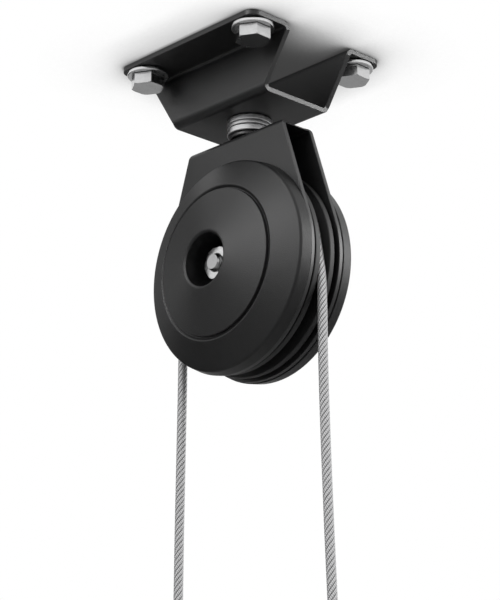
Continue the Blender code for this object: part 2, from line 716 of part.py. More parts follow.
def yoke(shop):
    """Bent strap with a hole for the swivel bolt in its top and one for the axle in each cheek."""
    lowest = AXLE_Z - LOBE_RADIUS - CUT_MARGIN
    corners = [(-CHEEK_OUTER, lowest), (-CHEEK_OUTER, YOKE_TOP),
               (CHEEK_OUTER, YOKE_TOP), (CHEEK_OUTER, lowest)]
    outer_bend = YOKE_BEND_RADIUS + YOKE_PLATE
    path = rounded(corners, [0, outer_bend, outer_bend, 0], 5)
    sheet = extruded_sheet("yoke", path, 2 * (LOBE_RADIUS + CUT_MARGIN))
    strap = shop.swivelling(sheet, "yoke", BLACK_COAT)
    wall = strap.modifiers.new("wall", "SOLIDIFY")
    wall.thickness = YOKE_PLATE
    wall.offset = -1
    wall.use_even_offset = True
    side = shop.cutter(outline_mesh("cheek_form", cheek_outline(), YOKE_WIDTH + 2 * CUT_MARGIN),
                       "cheek_form", rotation=TO_FRONT)
    combine(strap, side, "INTERSECT")
    top_hole = rod_mesh("swivel_hole", BORE_RADIUS, YOKE_TOP - YOKE_PLATE - CUT_MARGIN,
                        YOKE_TOP + CUT_MARGIN, SMALL_STEPS)
    combine(strap, shop.cutter(top_hole, "swivel_hole"), "DIFFERENCE")
    axle_hole = rod_mesh("axle_hole", BORE_RADIUS, -YOKE_WIDTH, YOKE_WIDTH, SMALL_STEPS)
    combine(strap, shop.cutter(axle_hole, "axle_hole", (0, 0, AXLE_Z), TO_REAR), "DIFFERENCE")
    return strap


def cover_profile():
    """Section of a cover from the cheek outwards, as (radius, height) above the cheek's face."""
    bore = CUP_RADIUS + CUP_WALL + GAP
    boss = bore + COVER_WALL
    mouth = CUP_FLANGE_RADIUS + GAP
    ledge = COVER_HEIGHT - CUP_FLANGE - GAP
    slope = (COVER_HEIGHT - COVER_GROOVE_LIFT) / (COVER_GROOVE_RADIUS - CUP_FLANGE_RADIUS)
    half_groove = COVER_GROOVE_WIDTH / 2
    half_root = half_groove * COVER_GROOVE_TAPER
    groove_root = COVER_GROOVE_LIFT - COVER_GROOVE_DEPTH
    middle = [(bore, GAP), (bore, ledge), (mouth, ledge), (mouth, COVER_HEIGHT - GAP * slope)]
    groove = [(COVER_GROOVE_RADIUS - half_groove, COVER_GROOVE_LIFT + half_groove * slope),
              (COVER_GROOVE_RADIUS - half_root, groove_root),
              (COVER_GROOVE_RADIUS + half_root, groove_root)]
    shoulder = rounded([(COVER_GROOVE_RADIUS + half_groove, COVER_GROOVE_LIFT - half_groove * slope),
                        (COVER_RADIUS - COVER_DRAFT, COVER_SHOULDER_LIFT),
                        (COVER_RADIUS, COVER_RIM_LIFT)],
                       [0, COVER_SHOULDER_RADIUS, 0], 3)
    inside = [(COVER_RADIUS - COVER_WALL, COVER_RIM_LIFT),
              (COVER_RADIUS - COVER_WALL, COVER_SHOULDER_LIFT - COVER_WALL),
              (COVER_GROOVE_RADIUS, COVER_GROOVE_LIFT - COVER_WALL),
              (boss, COVER_HEIGHT - COVER_WALL - (boss - CUP_FLANGE_RADIUS) * slope),
              (boss, GAP)]
    return middle + groove + shoulder + inside


def cup_profile():
    """Section of a cup: floor under the axle's washer, wall, and flange on the cover's ledge."""
    floor = GAP + CUP_FLOOR
    outside = CUP_RADIUS + CUP_WALL
    return [(BORE_RADIUS, floor), (CUP_RADIUS - CUP_TAPER, floor),
            (CUP_RADIUS, COVER_HEIGHT - CUP_LIP),
            (CUP_RADIUS + CUP_LIP_INSET, COVER_HEIGHT - CUP_LIP_INSET),
            (CUP_FLANGE_RADIUS, COVER_HEIGHT),
            (CUP_FLANGE_RADIUS, COVER_HEIGHT - CUP_FLANGE), (outside, COVER_HEIGHT - CUP_FLANGE),
            (outside, GAP), (BORE_RADIUS, GAP)]


def covers(shop):
    """Two domed shells, each held to its cheek by the cup that the axle's fasteners clamp."""
    dome = turned_mesh("cover", cover_profile(), COVER_STEPS)
    cup = turned_mesh("cup", cup_profile(), WASHER_STEPS)
    for side, face, turn in (("front", -CHEEK_OUTER, TO_FRONT), ("rear", CHEEK_OUTER, TO_REAR)):
        shop.swivelling(dome, f"{side}_cover", BLACK_MOULDING, (0, face, AXLE_Z), turn)
        shop.swivelling(cup, f"{side}_cup", BLACK_MOULDING, (0, face, AXLE_Z), turn)


def sheave_profile():
    """Section of the grooved wheel: rim flats, rope groove, thinner web and hub."""
    half = SHEAVE_WIDTH / 2
    mouth = half - RIM_FLAT
    root = CABLE_RADIUS + GAP
    groove = arc((0, CABLE_PITCH_RADIUS), root, 188, 352, 6)
    groove = [(radius, height) for height, radius in reversed(groove)]
    bore = BEARING_RADIUS + GAP
    lip = bore - BEARING_LIP - GAP
    seat = BEARING_WIDTH / 2 + GAP
    web = WEB_THICKNESS / 2
    rim_foot = SHEAVE_RADIUS - RIM_DEPTH
    upper = [(lip, half), (HUB_RADIUS, half), (HUB_RADIUS + WEB_DRAFT, web),
             (rim_foot - WEB_DRAFT, web), (rim_foot, half),
             (SHEAVE_RADIUS - RIM_CHAMFER, half), (SHEAVE_RADIUS, half - RIM_CHAMFER),
             (SHEAVE_RADIUS, mouth)]
    lower = [(radius, -height) for radius, height in reversed(upper)]
    inner = [(lip, -seat), (bore, -seat), (bore, seat), (lip, seat)]
    return upper + groove + lower + inner


def sheave(shop):
    shop.rolling(turned_mesh("sheave", sheave_profile(), SHEAVE_STEPS), "sheave", BLACK_NYLON)


def outer_race_profile(circle, track):
    """Section of the outer race with its ball groove and the two shields that close the bearing."""
    half = BEARING_WIDTH / 2
    spread = math.degrees(math.acos((OUTER_RACE_BORE - circle) / track))
    groove = arc((circle, 0), track, -spread, spread, 3)
    shield_outer = half - SHIELD_INSET
    shield_inner = shield_outer - SHIELD_THICKNESS
    shield_bore = INNER_RACE_RADIUS + GAP
    step = OUTER_RACE_BORE + GAP
    rim = [(step, half), (BEARING_RADIUS, half), (BEARING_RADIUS, -half), (step, -half)]
    below = [(step, -shield_outer), (shield_bore, -shield_outer), (shield_bore, -shield_inner),
             (OUTER_RACE_BORE, -shield_inner)]
    above = [(radius, -height) for radius, height in reversed(below)]
    return rim + below + groove + above


def inner_race_profile(circle, track):
    """Section of the inner race with its ball groove."""
    half = BEARING_WIDTH / 2
    spread = math.degrees(math.acos((circle - INNER_RACE_RADIUS) / track))
    groove = arc((circle, 0), track, 180 - spread, 180 + spread, 3)
    return ([(BORE_RADIUS, half), (INNER_RACE_RADIUS, half)] + groove
            + [(INNER_RACE_RADIUS, -half), (BORE_RADIUS, -half)])


def wheel_bearing(shop):
    """Ball bearing between the axle and the wheel; its inner race stands still."""
    circle = (INNER_RACE_RADIUS + OUTER_RACE_BORE) / 2
    track = RACE_BALL_RADIUS + GAP
    outer = turned_mesh("bearing_outer_race", outer_race_profile(circle, track), HIDDEN_STEPS)
    shop.rolling(outer, "bearing_outer_race", BEARING_STEEL)
    inner = turned_mesh("bearing_inner_race", inner_race_profile(circle, track), HIDDEN_STEPS)
    shop.rolling(inner, "bearing_inner_race", BEARING_STEEL)
    cage = cage_mesh(shop, "bearing_ball_cage", RACE_BALL_RADIUS, circle, RACE_BALL_COUNT,
                     RACE_CAGE_THICKNESS, RACE_CAGE_WIDTH, HIDDEN_STEPS)
    shop.rolling(cage, "bearing_ball_cage", BRONZE)


def axle(shop):
    """Bolt from the rear through both cups, cheeks, spacers and bearing to the nut in front."""
    near = BEARING_WIDTH / 2 + GAP
    spacer = ring_mesh("axle_spacer", BORE_RADIUS, INNER_RACE_RADIUS, CHEEK_INNER - GAP - near,
                       SMALL_STEPS)
    shop.swivelling(spacer, "front_axle_spacer", STEEL, (0, -near, AXLE_Z), TO_FRONT)
    shop.swivelling(spacer, "rear_axle_spacer", STEEL, (0, near, AXLE_Z), TO_REAR)

    washer_seat = CHEEK_OUTER + GAP + CUP_FLOOR + GAP
    washer = ring_mesh("axle_washer", BORE_RADIUS, AXLE_WASHER_RADIUS, AXLE_WASHER_THICKNESS,
                       SMALL_STEPS)
    shop.swivelling(washer, "axle_nut_washer", ZINC, (0, -washer_seat, AXLE_Z), TO_FRONT)
    shop.swivelling(washer, "axle_head_washer", ZINC, (0, washer_seat, AXLE_Z), TO_REAR)
    seat = washer_seat + AXLE_WASHER_THICKNESS + GAP
    nut = nut_mesh(shop, "axle_nut", NUT_HEIGHT)
    shop.swivelling(nut, "axle_nut", ZINC, (0, -seat, AXLE_Z), TO_FRONT)
    bolt = bolt_mesh(shop, "axle_bolt", AXLE_BOLT_LENGTH)
    shop.swivelling(bolt, "axle_bolt", ZINC, (0, seat, AXLE_Z), TO_REAR)


def wrap_points():
    """Centre line of the rope on the wheel, from its left to its right leaving point."""
    points = []
    for step in range(WRAP_STEPS + 1):
        angle = math.pi - LEAVING_ANGLE - (math.pi - 2 * LEAVING_ANGLE) * step / WRAP_STEPS
        points.append((CABLE_PITCH_RADIUS * math.cos(angle), 0,
                       AXLE_Z + CABLE_PITCH_RADIUS * math.sin(angle)))
    return points


def run_points(route, side):
    """Centre line of a hanging run, which starts a gap below the rope on the wheel."""
    start = Vector((side * CABLE_PITCH_RADIUS * math.cos(LEAVING_ANGLE), 0,
                    AXLE_Z + CABLE_PITCH_RADIUS * math.sin(LEAVING_ANGLE)))
    leaving = Vector((side * math.sin(LEAVING_ANGLE), 0, -math.cos(LEAVING_ANGLE)))
    points = [tuple(start + leaving * GAP)]
    points += [(x, 0, AXLE_Z + z) for x, z in route]
    return points


def eye_outline(inset, steps):
    """Drop shape under a sleeve, drawn in by inset: the arc that its two legs run tangent to."""
    centre = EYE_RADIUS - EYE_DROP
    lean = tangent_angle(SLEEVE_SPREAD, -centre - EYE_NECK, EYE_RADIUS)
    return lean, centre, arc((0, centre), EYE_RADIUS - inset, lean, -180 - lean, steps)


def eye_points():
    """Centre line of the rope loop, from one bore of the sleeve round to the other."""
    _, _, bottom = eye_outline(0, EYE_STEPS)
    right = [(SLEEVE_SPREAD, -GAP), (SLEEVE_SPREAD, -EYE_NECK)]
    left = [(-x, z) for x, z in reversed(right)]
    return [(x, 0, z) for x, z in right + bottom + left]


def thimble_outline(inset, tip):
    """Outline inside the rope loop, whose point is cut off where it is 2 tip wide."""
    lean, centre, bottom = eye_outline(inset, THIMBLE_STEPS)
    slope = math.radians(lean)
    top = centre + (EYE_RADIUS - inset - tip * math.cos(slope)) / math.sin(slope)
    return bottom + [(-tip, top), (tip, top)]


def sleeve_outline():
    """Flattened round section of the pressed sleeve, around its two bores."""
    half_width = SLEEVE_SPREAD + CABLE_RADIUS + SLEEVE_WALL
    return rounded([(-half_width, -SLEEVE_RADIUS), (half_width, -SLEEVE_RADIUS),
                    (half_width, SLEEVE_RADIUS), (-half_width, SLEEVE_RADIUS)],
                   [SLEEVE_RADIUS - GAP] * 4, 5, closed=True)


def cable(shop):
    """Wire rope over the wheel, its two hanging runs, and a sleeved eye at the end of each."""
    wrap = tube_mesh("cable_over_sheave", wrap_points(), CABLE_RADIUS)
    shop.swivelling(wrap, "cable_over_sheave", ROPE_STEEL)
    for name, route, side in (("left", LEFT_RUN, -1), ("right", RIGHT_RUN, 1)):
        points = run_points(route, side)
        run = tube_mesh(f"{name}_cable_run", points, CABLE_RADIUS)
        shop.swivelling(run, f"{name}_cable_run", ROPE_STEEL)
        end_x, _, end_z = points[-1]
        rope_end(shop, name, end_x, end_z - GAP)


def rope_end(shop, name, x, top):
    """Sleeve, rope loop and thimble below the end of a run."""
    sleeve = shop.swivelling(outline_mesh(f"{name}_sleeve", sleeve_outline(), SLEEVE_LENGTH),
                             f"{name}_sleeve", STEEL, (x, 0, top - SLEEVE_LENGTH / 2))
    edge = sleeve.modifiers.new("edge", "BEVEL")
    edge.width = SLEEVE_BEVEL
    edge.segments = 1
    edge.limit_method = "ANGLE"
    edge.angle_limit = math.radians(60)

    eye_top = top - SLEEVE_LENGTH - GAP
    loop = tube_mesh(f"{name}_eye", eye_points(), CABLE_RADIUS)
    shop.swivelling(loop, f"{name}_eye", ROPE_STEEL, (x, 0, eye_top))
    seat = CABLE_RADIUS + GAP
    block = outline_mesh(f"{name}_thimble", thimble_outline(seat, THIMBLE_TIP), THIMBLE_WIDTH)
    thimble = shop.swivelling(block, f"{name}_thimble", ZINC, (x, 0, eye_top), TO_FRONT)
    hole = outline_mesh("thimble_hole", thimble_outline(seat + THIMBLE_WALL, THIMBLE_TIP / 2),
                        THIMBLE_WIDTH + 2 * CUT_MARGIN)
    tool = shop.cutter(hole, f"{name}_thimble_hole", (x, 0, eye_top), TO_FRONT)
    combine(thimble, tool, "DIFFERENCE")


def build():
    clear_scene()
    shop = Workshop()
    ceiling_bracket(shop)
    ceiling_fixings(shop)
    swivel(shop)
    yoke(shop)
    covers(shop)
    sheave(shop)
    wheel_bearing(shop)
    axle(shop)
    cable(shop)
    bpy.context.view_layer.update()


build()
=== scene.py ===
"""Dressed scene of a ceiling-mounted swivel cable pulley, in metres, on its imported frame.

+Z is up and the ceiling plane is Z = 0. The wheel turns about Y, and its front faces -Y.
"""

from __future__ import annotations

import json
import logging
import math
from contextlib import contextmanager
from dataclasses import dataclass
from enum import Enum
from typing import Callable, ClassVar, Iterator, NamedTuple, Sequence

import bmesh
import bpy
from mathutils import Matrix, Vector

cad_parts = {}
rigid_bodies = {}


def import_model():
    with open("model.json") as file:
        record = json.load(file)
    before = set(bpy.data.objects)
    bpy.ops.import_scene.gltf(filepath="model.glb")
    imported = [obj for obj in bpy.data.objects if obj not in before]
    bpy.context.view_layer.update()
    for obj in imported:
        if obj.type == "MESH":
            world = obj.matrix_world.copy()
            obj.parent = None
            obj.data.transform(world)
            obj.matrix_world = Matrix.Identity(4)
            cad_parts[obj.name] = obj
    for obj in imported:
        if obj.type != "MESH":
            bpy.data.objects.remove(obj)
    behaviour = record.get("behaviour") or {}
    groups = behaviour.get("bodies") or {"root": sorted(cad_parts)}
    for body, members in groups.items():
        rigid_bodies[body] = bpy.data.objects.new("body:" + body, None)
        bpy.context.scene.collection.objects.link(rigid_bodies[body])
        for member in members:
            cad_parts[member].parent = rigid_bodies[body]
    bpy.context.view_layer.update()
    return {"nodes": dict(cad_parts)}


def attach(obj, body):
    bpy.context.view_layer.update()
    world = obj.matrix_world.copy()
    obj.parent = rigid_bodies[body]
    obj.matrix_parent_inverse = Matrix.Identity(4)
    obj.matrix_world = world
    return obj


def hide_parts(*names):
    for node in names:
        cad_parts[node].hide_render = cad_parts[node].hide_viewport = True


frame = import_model()

log = logging.getLogger("pulley")

Point2 = tuple[float, float]
Point3 = tuple[float, float, float]
Colour = tuple[float, float, float]
Corner = tuple[float, float, float]
Tones = tuple[Colour, Colour]
Piece = bpy.types.Object

TURN = 2 * math.pi
WELD = 0.000002
WHITE = (1.0, 1.0, 1.0)


class Body(Enum):
    """Bodies of the frame that a piece can ride on."""

    BRACKET = "bracket"
    THRUST_CAGE = "thrust_cage"
    YOKE = "yoke"
    SHEAVE = "sheave"


class Facing(Enum):
    """Where the top of a piece that is made about Z looks in the finished pulley."""

    UP = (0.0, 0.0, 0.0)
    DOWN = (math.pi, 0.0, 0.0)
    FRONT = (math.pi / 2, 0.0, 0.0)
    REAR = (-math.pi / 2, 0.0, 0.0)


SIDES = (("front", -1, Facing.FRONT), ("rear", 1, Facing.REAR))


@dataclass(frozen=True)
class Layout:
    """Places and fits that several sub-assemblies share, in the part's frame."""

    gap: float = 0.0003
    bore: float = 0.0053
    plate: float = 0.003
    bolt_spacing: Point2 = (0.086, 0.0772)
    foot_bottom: float = -0.0343
    yoke_top: float = -0.0465
    yoke_plate: float = 0.0025
    cheek_face: float = 0.01175
    cheek_inside: float = 0.00925
    cup_floor: float = 0.0025
    bearing_width: float = 0.009
    axle_height: float = -0.1234
    rope_radius: float = 0.0026
    rope_circle: float = 0.0512
    leaving_angle: float = math.radians(11)

    @property
    def foot_top(self) -> float:
        """Upper face of the bracket's foot."""
        return self.foot_bottom + self.plate

    @property
    def bolts(self) -> list[Point2]:
        """Places of the ceiling bolts in X and Y, in the order of their numbers."""
        x, y = self.bolt_spacing
        return [(sx * x / 2, sy * y / 2) for sx in (1, -1) for sy in (-1, 1)]

    def leaving_point(self, side: int, beyond: float) -> Point3:
        """Point where the rope leaves the wheel.

        Args:
            side: 1 for the right run, -1 for the left one.
            beyond: How far down the run from there.

        Returns:
            The point.
        """
        cosine, sine = math.cos(self.leaving_angle), math.sin(self.leaving_angle)
        return (side * (self.rope_circle * cosine + beyond * sine), 0.0,
                self.axle_height + self.rope_circle * sine - beyond * cosine)


PLACES = Layout()


class Value:
    """Output of a shader node that can be used in Python expressions."""

    def __init__(self, nodes: Nodes, socket: bpy.types.NodeSocket) -> None:
        """Keep a socket with the tree that it belongs to."""
        self.nodes = nodes
        self.socket = socket

    def _maths(self, operation: str, first: Value | float, second: Value | float = 0.0) -> Value:
        """Result of a Math node with this operation and these inputs."""
        return self.nodes.node("ShaderNodeMath", {"operation": operation}, {0: first, 1: second})

    def __add__(self, other: Value | float) -> Value:
        """Add."""
        return self._maths("ADD", self, other)

    __radd__ = __add__

    def __sub__(self, other: Value | float) -> Value:
        """Subtract."""
        return self._maths("SUBTRACT", self, other)

    def __rsub__(self, other: Value | float) -> Value:
        """Subtract this value from a number."""
        return self._maths("SUBTRACT", other, self)

    def __mul__(self, other: Value | float) -> Value:
        """Multiply."""
        return self._maths("MULTIPLY", self, other)

    __rmul__ = __mul__

    def __pow__(self, other: Value | float) -> Value:
        """Raise to a power."""
        return self._maths("POWER", self, other)

    def wave(self) -> Value:
        """Sine of the value in radians, brought between 0 and 1."""
        return self._maths("SINE", self) * 0.5 + 0.5

    def size(self) -> Value:
        """Absolute value."""
        return self._maths("ABSOLUTE", self)

    def fraction(self) -> Value:
        """What is left over from the whole number below."""
        return self._maths("FRACT", self)

    def limited(self) -> Value:
        """The value kept between 0 and 1."""
        return self.nodes.node("ShaderNodeClamp", {}, {"Value": self})


class Nodes:
    """Shader nodes of a world or a material while they are put together."""

    def __init__(self, tree: bpy.types.NodeTree) -> None:
        """Start with a tree as it is."""
        self.tree = tree

    def node(self, kind: str, settings: dict, inputs: dict, output: str | int = 0) -> Value:
        """Add any node.

        Args:
            kind: The node's type.
            settings: Its settings, set before its sockets.
            inputs: Values or links of its input sockets.
            output: Name or number of the output to hand back.

        Returns:
            That output.
        """
        made = self.tree.nodes.new(kind)
        for key, setting in settings.items():
            setattr(made, key, setting)
        for key, given in inputs.items():
            self.feed(made.inputs[key], given)
        return Value(self, made.outputs[output])

    def feed(self, socket: bpy.types.NodeSocket, given: Value | float | Sequence[float]) -> None:
        """Link a value to a socket, or set the socket's own number or colour.

        Args:
            socket: Input socket.
            given: What it gets.
        """
        if isinstance(given, Value):
            self.tree.links.new(given.socket, socket)
        elif socket.type == "RGBA" and len(given) == 3:
            socket.default_value = (*given, 1.0)
        else:
            socket.default_value = given

    def ray(self, *kinds: str) -> Value:
        """1 for rays of these kinds and 0 for all others."""
        paths = [self.node("ShaderNodeLightPath", {}, {}, f"Is {kind} Ray") for kind in kinds]
        return sum(paths[1:], paths[0]).limited()

    def either(self, amount: Value, first: Value, second: Value) -> Value:
        """Mix two shaders, the first of them where the amount is 0."""
        return self.node("ShaderNodeMixShader", {}, {0: amount, 1: first, 2: second})

    def show(self, shader: Value, output: str) -> None:
        """Make a shader the one that the tree's output node shows."""
        self.feed(self.tree.nodes[output].inputs["Surface"], shader)


class Recipe(Nodes):
    """One material while its nodes are put together."""

    def __init__(self, name: str) -> None:
        """Start a material with a bare Principled shader.

        Args:
            name: Name of the material.
        """
        self.material = bpy.data.materials.new(name)
        self.material.use_nodes = True
        super().__init__(self.material.node_tree)
        self.shader = self.tree.nodes["Principled BSDF"]
        self.place = self.node("ShaderNodeTexCoord", {}, {}, "Object")

    def noise(self, scale: float, detail: float = 2.0, stretch: Point3 | None = None) -> Value:
        """Noise between 0 and 1.

        Args:
            scale: Cells per metre.
            detail: Octaves.
            stretch: How much finer it is along each axis, if it isn't the same along all.

        Returns:
            The noise.
        """
        where = self.place
        if stretch:
            where = self.node("ShaderNodeMapping", {}, {"Vector": where, "Scale": stretch})
        inputs = {"Vector": where, "Scale": scale, "Detail": detail}
        return self.node("ShaderNodeTexNoise", {}, inputs, "Fac")

    def cells(self, scale: float) -> Value:
        """Distance to the nearest of scattered points, for grain and pits."""
        inputs = {"Vector": self.place, "Scale": scale}
        return self.node("ShaderNodeTexVoronoi", {"feature": "F1"}, inputs, "Distance")

    def axis(self, name: str, where: Value | None = None) -> Value:
        """The X, Y or Z of a place, or of the object's own coordinates, in metres."""
        return self.node("ShaderNodeSeparateXYZ", {}, {0: where or self.place}, name)

    def around(self, first: Value, second: Value) -> Value:
        """Distance from an axis, from the two coordinates across it."""
        return (first * first + second * second) ** 0.5

    def blend(self, amount: Value, first: Colour | Value, second: Colour | Value) -> Value:
        """Mix two colours, the first of them where the amount is 0."""
        return self.node("ShaderNodeMix", {"data_type": "RGBA"}, {0: amount, 6: first, 7: second}, 2)

    def glow(self, colour: Colour) -> Value:
        """Shader that shows one colour as it is."""
        return self.node("ShaderNodeEmission", {}, {"Color": colour, "Strength": 1.0})

    def relief(self, height: Value, depth: float) -> None:
        """Raise the surface.

        Args:
            height: Height between 0 and 1.
            depth: Height in metres that 1 stands for.
        """
        bump = self.node("ShaderNodeBump", {}, {"Height": height, "Strength": 1.0, "Distance": depth})
        self.feed(self.shader.inputs["Normal"], bump)

    def surface(self, **sockets: Value | float | Sequence[float]) -> None:
        """Set the shader's sockets, with spaces in their names written as underscores."""
        for name, given in sockets.items():
            self.feed(self.shader.inputs[name.replace("_", " ")], given)


class Pattern(NamedTuple):
    """How a finish varies over the surface: share of its second tone, roughness and height."""

    tone: Value
    roughness: Value
    height: Value


@dataclass(frozen=True)
class Finish:
    """What every finish has: names, two tones, the depth of its relief and how it shines."""

    name: str
    tones: Tones
    depth: float
    slot: str = ""
    metallic: float = 1.0
    specular: float = 0.5

    def pattern(self, recipe: Recipe) -> Pattern:
        """The finish's own pattern."""
        raise NotImplementedError

    def colour(self, recipe: Recipe, tone: Value) -> Value:
        """Base colour where the pattern has this tone."""
        return recipe.blend(tone.limited(), *self.tones)

    def make(self) -> bpy.types.Material:
        """Build the material.

        Returns:
            The material.
        """
        recipe = Recipe(self.name)
        pattern = self.pattern(recipe)
        recipe.surface(Base_Color=self.colour(recipe, pattern.tone), Roughness=pattern.roughness.limited(),
                       Metallic=self.metallic, Specular_IOR_Level=self.specular)
        recipe.relief(pattern.height, self.depth)
        return recipe.material


@dataclass(frozen=True)
class PowderCoat(Finish):
    """Black powder coat with a fine orange peel."""

    name: str = "black_powder_coat"
    tones: Tones = ((0.005, 0.005, 0.0053), (0.011, 0.011, 0.0114))
    depth: float = 0.00005
    metallic: float = 0.0
    thin_coat_and_highlight: Colour = (0.017, 0.017, 0.0174)
    peel_scale: float = 1300.0

    def pattern(self, recipe: Recipe) -> Pattern:
        """Peel with finer specks, on a slow wash."""
        peel, speck, wash = recipe.noise(self.peel_scale), recipe.cells(2600.0), recipe.noise(26.0, 3.0)
        return Pattern(wash * 0.7 + peel * 0.3, wash * 0.10 + speck * 0.10 + 0.30, peel * 0.75 + speck * 0.25)

    def colour(self, recipe: Recipe, tone: Value) -> Value:
        """Base colour, which is paler where the piece's own mark says that it was cut: a thinner coat there,
        and a painted edge highlight.
        """
        # Paler cut faces: a thinner coat, and a painted highlight along the edges.
        cut = recipe.node("ShaderNodeAttribute", {"attribute_name": "cut"}, {}, "Fac")
        bare = cut * (0.7 + recipe.noise(self.peel_scale) * 0.5)
        return recipe.blend(bare.limited(), super().colour(recipe, tone), self.thin_coat_and_highlight)


@dataclass(frozen=True)
class MouldedGrain(Finish):
    """Black moulding with an even fine grain."""

    name: str = "black_moulding"
    tones: Tones = ((0.005, 0.005, 0.0053), (0.009, 0.009, 0.0093))
    depth: float = 0.00006
    metallic: float = 0.0
    specular: float = 0.40

    def pattern(self, recipe: Recipe) -> Pattern:
        """Rounded grain with a finer one on it."""
        grain, fine, wash = recipe.cells(2300.0), recipe.noise(3600.0, 1.0), recipe.noise(18.0, 3.0)
        return Pattern(wash * 0.8 + grain * 0.2, wash * 0.08 + fine * 0.08 + 0.34, grain * 0.7 + fine * 0.3)


@dataclass(frozen=True)
class TurnedNylon(Finish):
    """Black nylon with the tool's rings round the wheel's axle, polished where the rope runs."""

    name: str = "black_nylon"
    tones: Tones = ((0.006, 0.006, 0.0063), (0.012, 0.012, 0.0123))
    depth: float = 0.00003
    metallic: float = 0.0
    specular: float = 0.40
    ring_pitch: float = 0.00045
    feed_pitch: float = 0.0005
    polish_fade: float = 350.0

    def pattern(self, recipe: Recipe) -> Pattern:
        """Rings across the sides and rim, with less of them in the groove.

        Args:
            recipe: The material's recipe.

        Returns:
            The pattern.
        """
        radius = recipe.around(recipe.axis("X"), recipe.axis("Z") - PLACES.axle_height)
        rings = (radius * (TURN / self.ring_pitch) + recipe.axis("Y") * (TURN / self.feed_pitch)).wave()
        polished = (1.0 - (radius - PLACES.rope_circle).size() * self.polish_fade).limited()
        wash = recipe.noise(60.0, 3.0)
        return Pattern(wash * 0.7 + polished * 0.5, 0.47 + wash * 0.08 - polished * 0.15,
                       rings * 0.35 + recipe.noise(1500.0) * 0.65)


@dataclass(frozen=True)
class TurnedSteel(Finish):
    """Bare steel turned about the swivel's axis, with fine tool rings."""

    name: str = "polished_steel"
    tones: Tones = ((0.86, 0.86, 0.865), (0.66, 0.66, 0.67))
    depth: float = 0.000006
    pitch: float = 0.00022

    def pattern(self, recipe: Recipe) -> Pattern:
        """Tool rings and streaks that run round the axis.

        Args:
            recipe: The material's recipe.

        Returns:
            The pattern.
        """
        radius = recipe.around(recipe.axis("X"), recipe.axis("Y"))
        streak = recipe.noise(900.0, 3.0, (0.05, 0.05, 4.0))
        rings = ((radius + recipe.axis("Z")) * (TURN / self.pitch)).wave()
        return Pattern(streak * 0.9, streak * 0.16 + rings * 0.05 + 0.26, rings * 0.5 + streak * 0.5)


@dataclass(frozen=True)
class ZincPlate(Finish):
    """Bright zinc plating with faint spangle, handling marks and small pits."""

    name: str = "zinc_plated_steel"
    tones: Tones = ((0.76, 0.762, 0.765), (0.57, 0.572, 0.575))
    depth: float = 0.000012

    def pattern(self, recipe: Recipe) -> Pattern:
        """Spangle and marks on a slow wash, with pits in the relief.

        Args:
            recipe: The material's recipe.

        Returns:
            The pattern.
        """
        spangle, wash = recipe.cells(420.0), recipe.noise(110.0, 3.0)
        marks = recipe.noise(700.0, 4.0, (1.0, 0.25, 1.0))
        return Pattern(spangle * 0.25 + marks * 0.35 + wash * 0.45 - 0.15, marks * 0.20 + wash * 0.14 + 0.06,
                       marks * 0.6 + recipe.noise(2400.0) * 0.4)


@dataclass(frozen=True)
class PaintedLightZinc(ZincPlate):
    """Paler copy of the zinc plating for the ceiling washers: painted light."""

    name: str = "zinc_plating_painted_light"
    slot: str = "zinc_plated_steel"
    tones: Tones = ((0.97, 0.972, 0.975), (0.82, 0.822, 0.825))


@dataclass(frozen=True)
class PaintedShadeZinc(ZincPlate):
    """Darker copy of the zinc plating for the axle bolt: painted shade."""

    name: str = "zinc_plating_painted_shade"
    slot: str = "zinc_plated_steel"
    tones: Tones = ((0.48, 0.482, 0.485), (0.36, 0.362, 0.365))


@dataclass(frozen=True)
class RopeWire(Finish):
    """Bare galvanised wires; the piece's map runs across its strands in U and along it in V."""

    name: str = "rope_steel"
    # The second tone is the painted shade of the seams and of the gaps between wires.
    tones: Tones = ((0.84, 0.84, 0.845), (0.10, 0.10, 0.105))
    depth: float = 0.00016
    metallic: float = 0.85
    wires: float = 2.0
    wire_slope: float = 1.17
    seam_shade_start: float = 0.86

    def pattern(self, recipe: Recipe) -> Pattern:
        """Wires that cross each strand at a slope, with painted shade between the wires and in the seams
        between the strands.

        Args:
            recipe: The material's recipe.

        Returns:
            The pattern.
        """
        chart = recipe.node("ShaderNodeUVMap", {"uv_map": "rope"}, {}, "UV")
        strand = recipe.axis("X", chart).fraction()
        from_middle = (strand - 0.5).size() * 2.0
        # Painted shade in the seams between strands and between the wires.
        shaded_seam = ((from_middle - self.seam_shade_start) * 9.0).limited()
        wires = ((strand * self.wires + recipe.axis("Y", chart) * self.wire_slope) * TURN).wave()
        crest = 1.0 - from_middle * from_middle
        return Pattern(shaded_seam + (1.0 - wires) * 0.38 + recipe.noise(420.0, 3.0) * 0.10,
                       0.34 + recipe.noise(800.0, 3.0) * 0.16 + shaded_seam * 0.25, wires * 0.5 + crest * 0.5)


@dataclass(frozen=True)
class OiledBronze(Finish):
    """Bronze of bushes and ball cages, darkened by oil."""

    name: str = "bronze"
    tones: Tones = ((0.50, 0.34, 0.16), (0.27, 0.17, 0.08))
    depth: float = 0.00001

    def pattern(self, recipe: Recipe) -> Pattern:
        """Stains of oil on fine pores."""
        wash = recipe.noise(260.0, 4.0)
        return Pattern(wash, 0.26 + wash * 0.22, recipe.noise(1800.0))


@dataclass(frozen=True)
class BearingSteel(Finish):
    """Ground and hardened steel of races and balls."""

    name: str = "bearing_steel"
    tones: Tones = ((0.60, 0.61, 0.63), (0.42, 0.43, 0.45))
    depth: float = 0.000005

    def pattern(self, recipe: Recipe) -> Pattern:
        """Grinding marks."""
        grind = recipe.noise(1600.0, 2.0, (0.2, 0.2, 5.0))
        return Pattern(grind, 0.12 + grind * 0.14, grind)


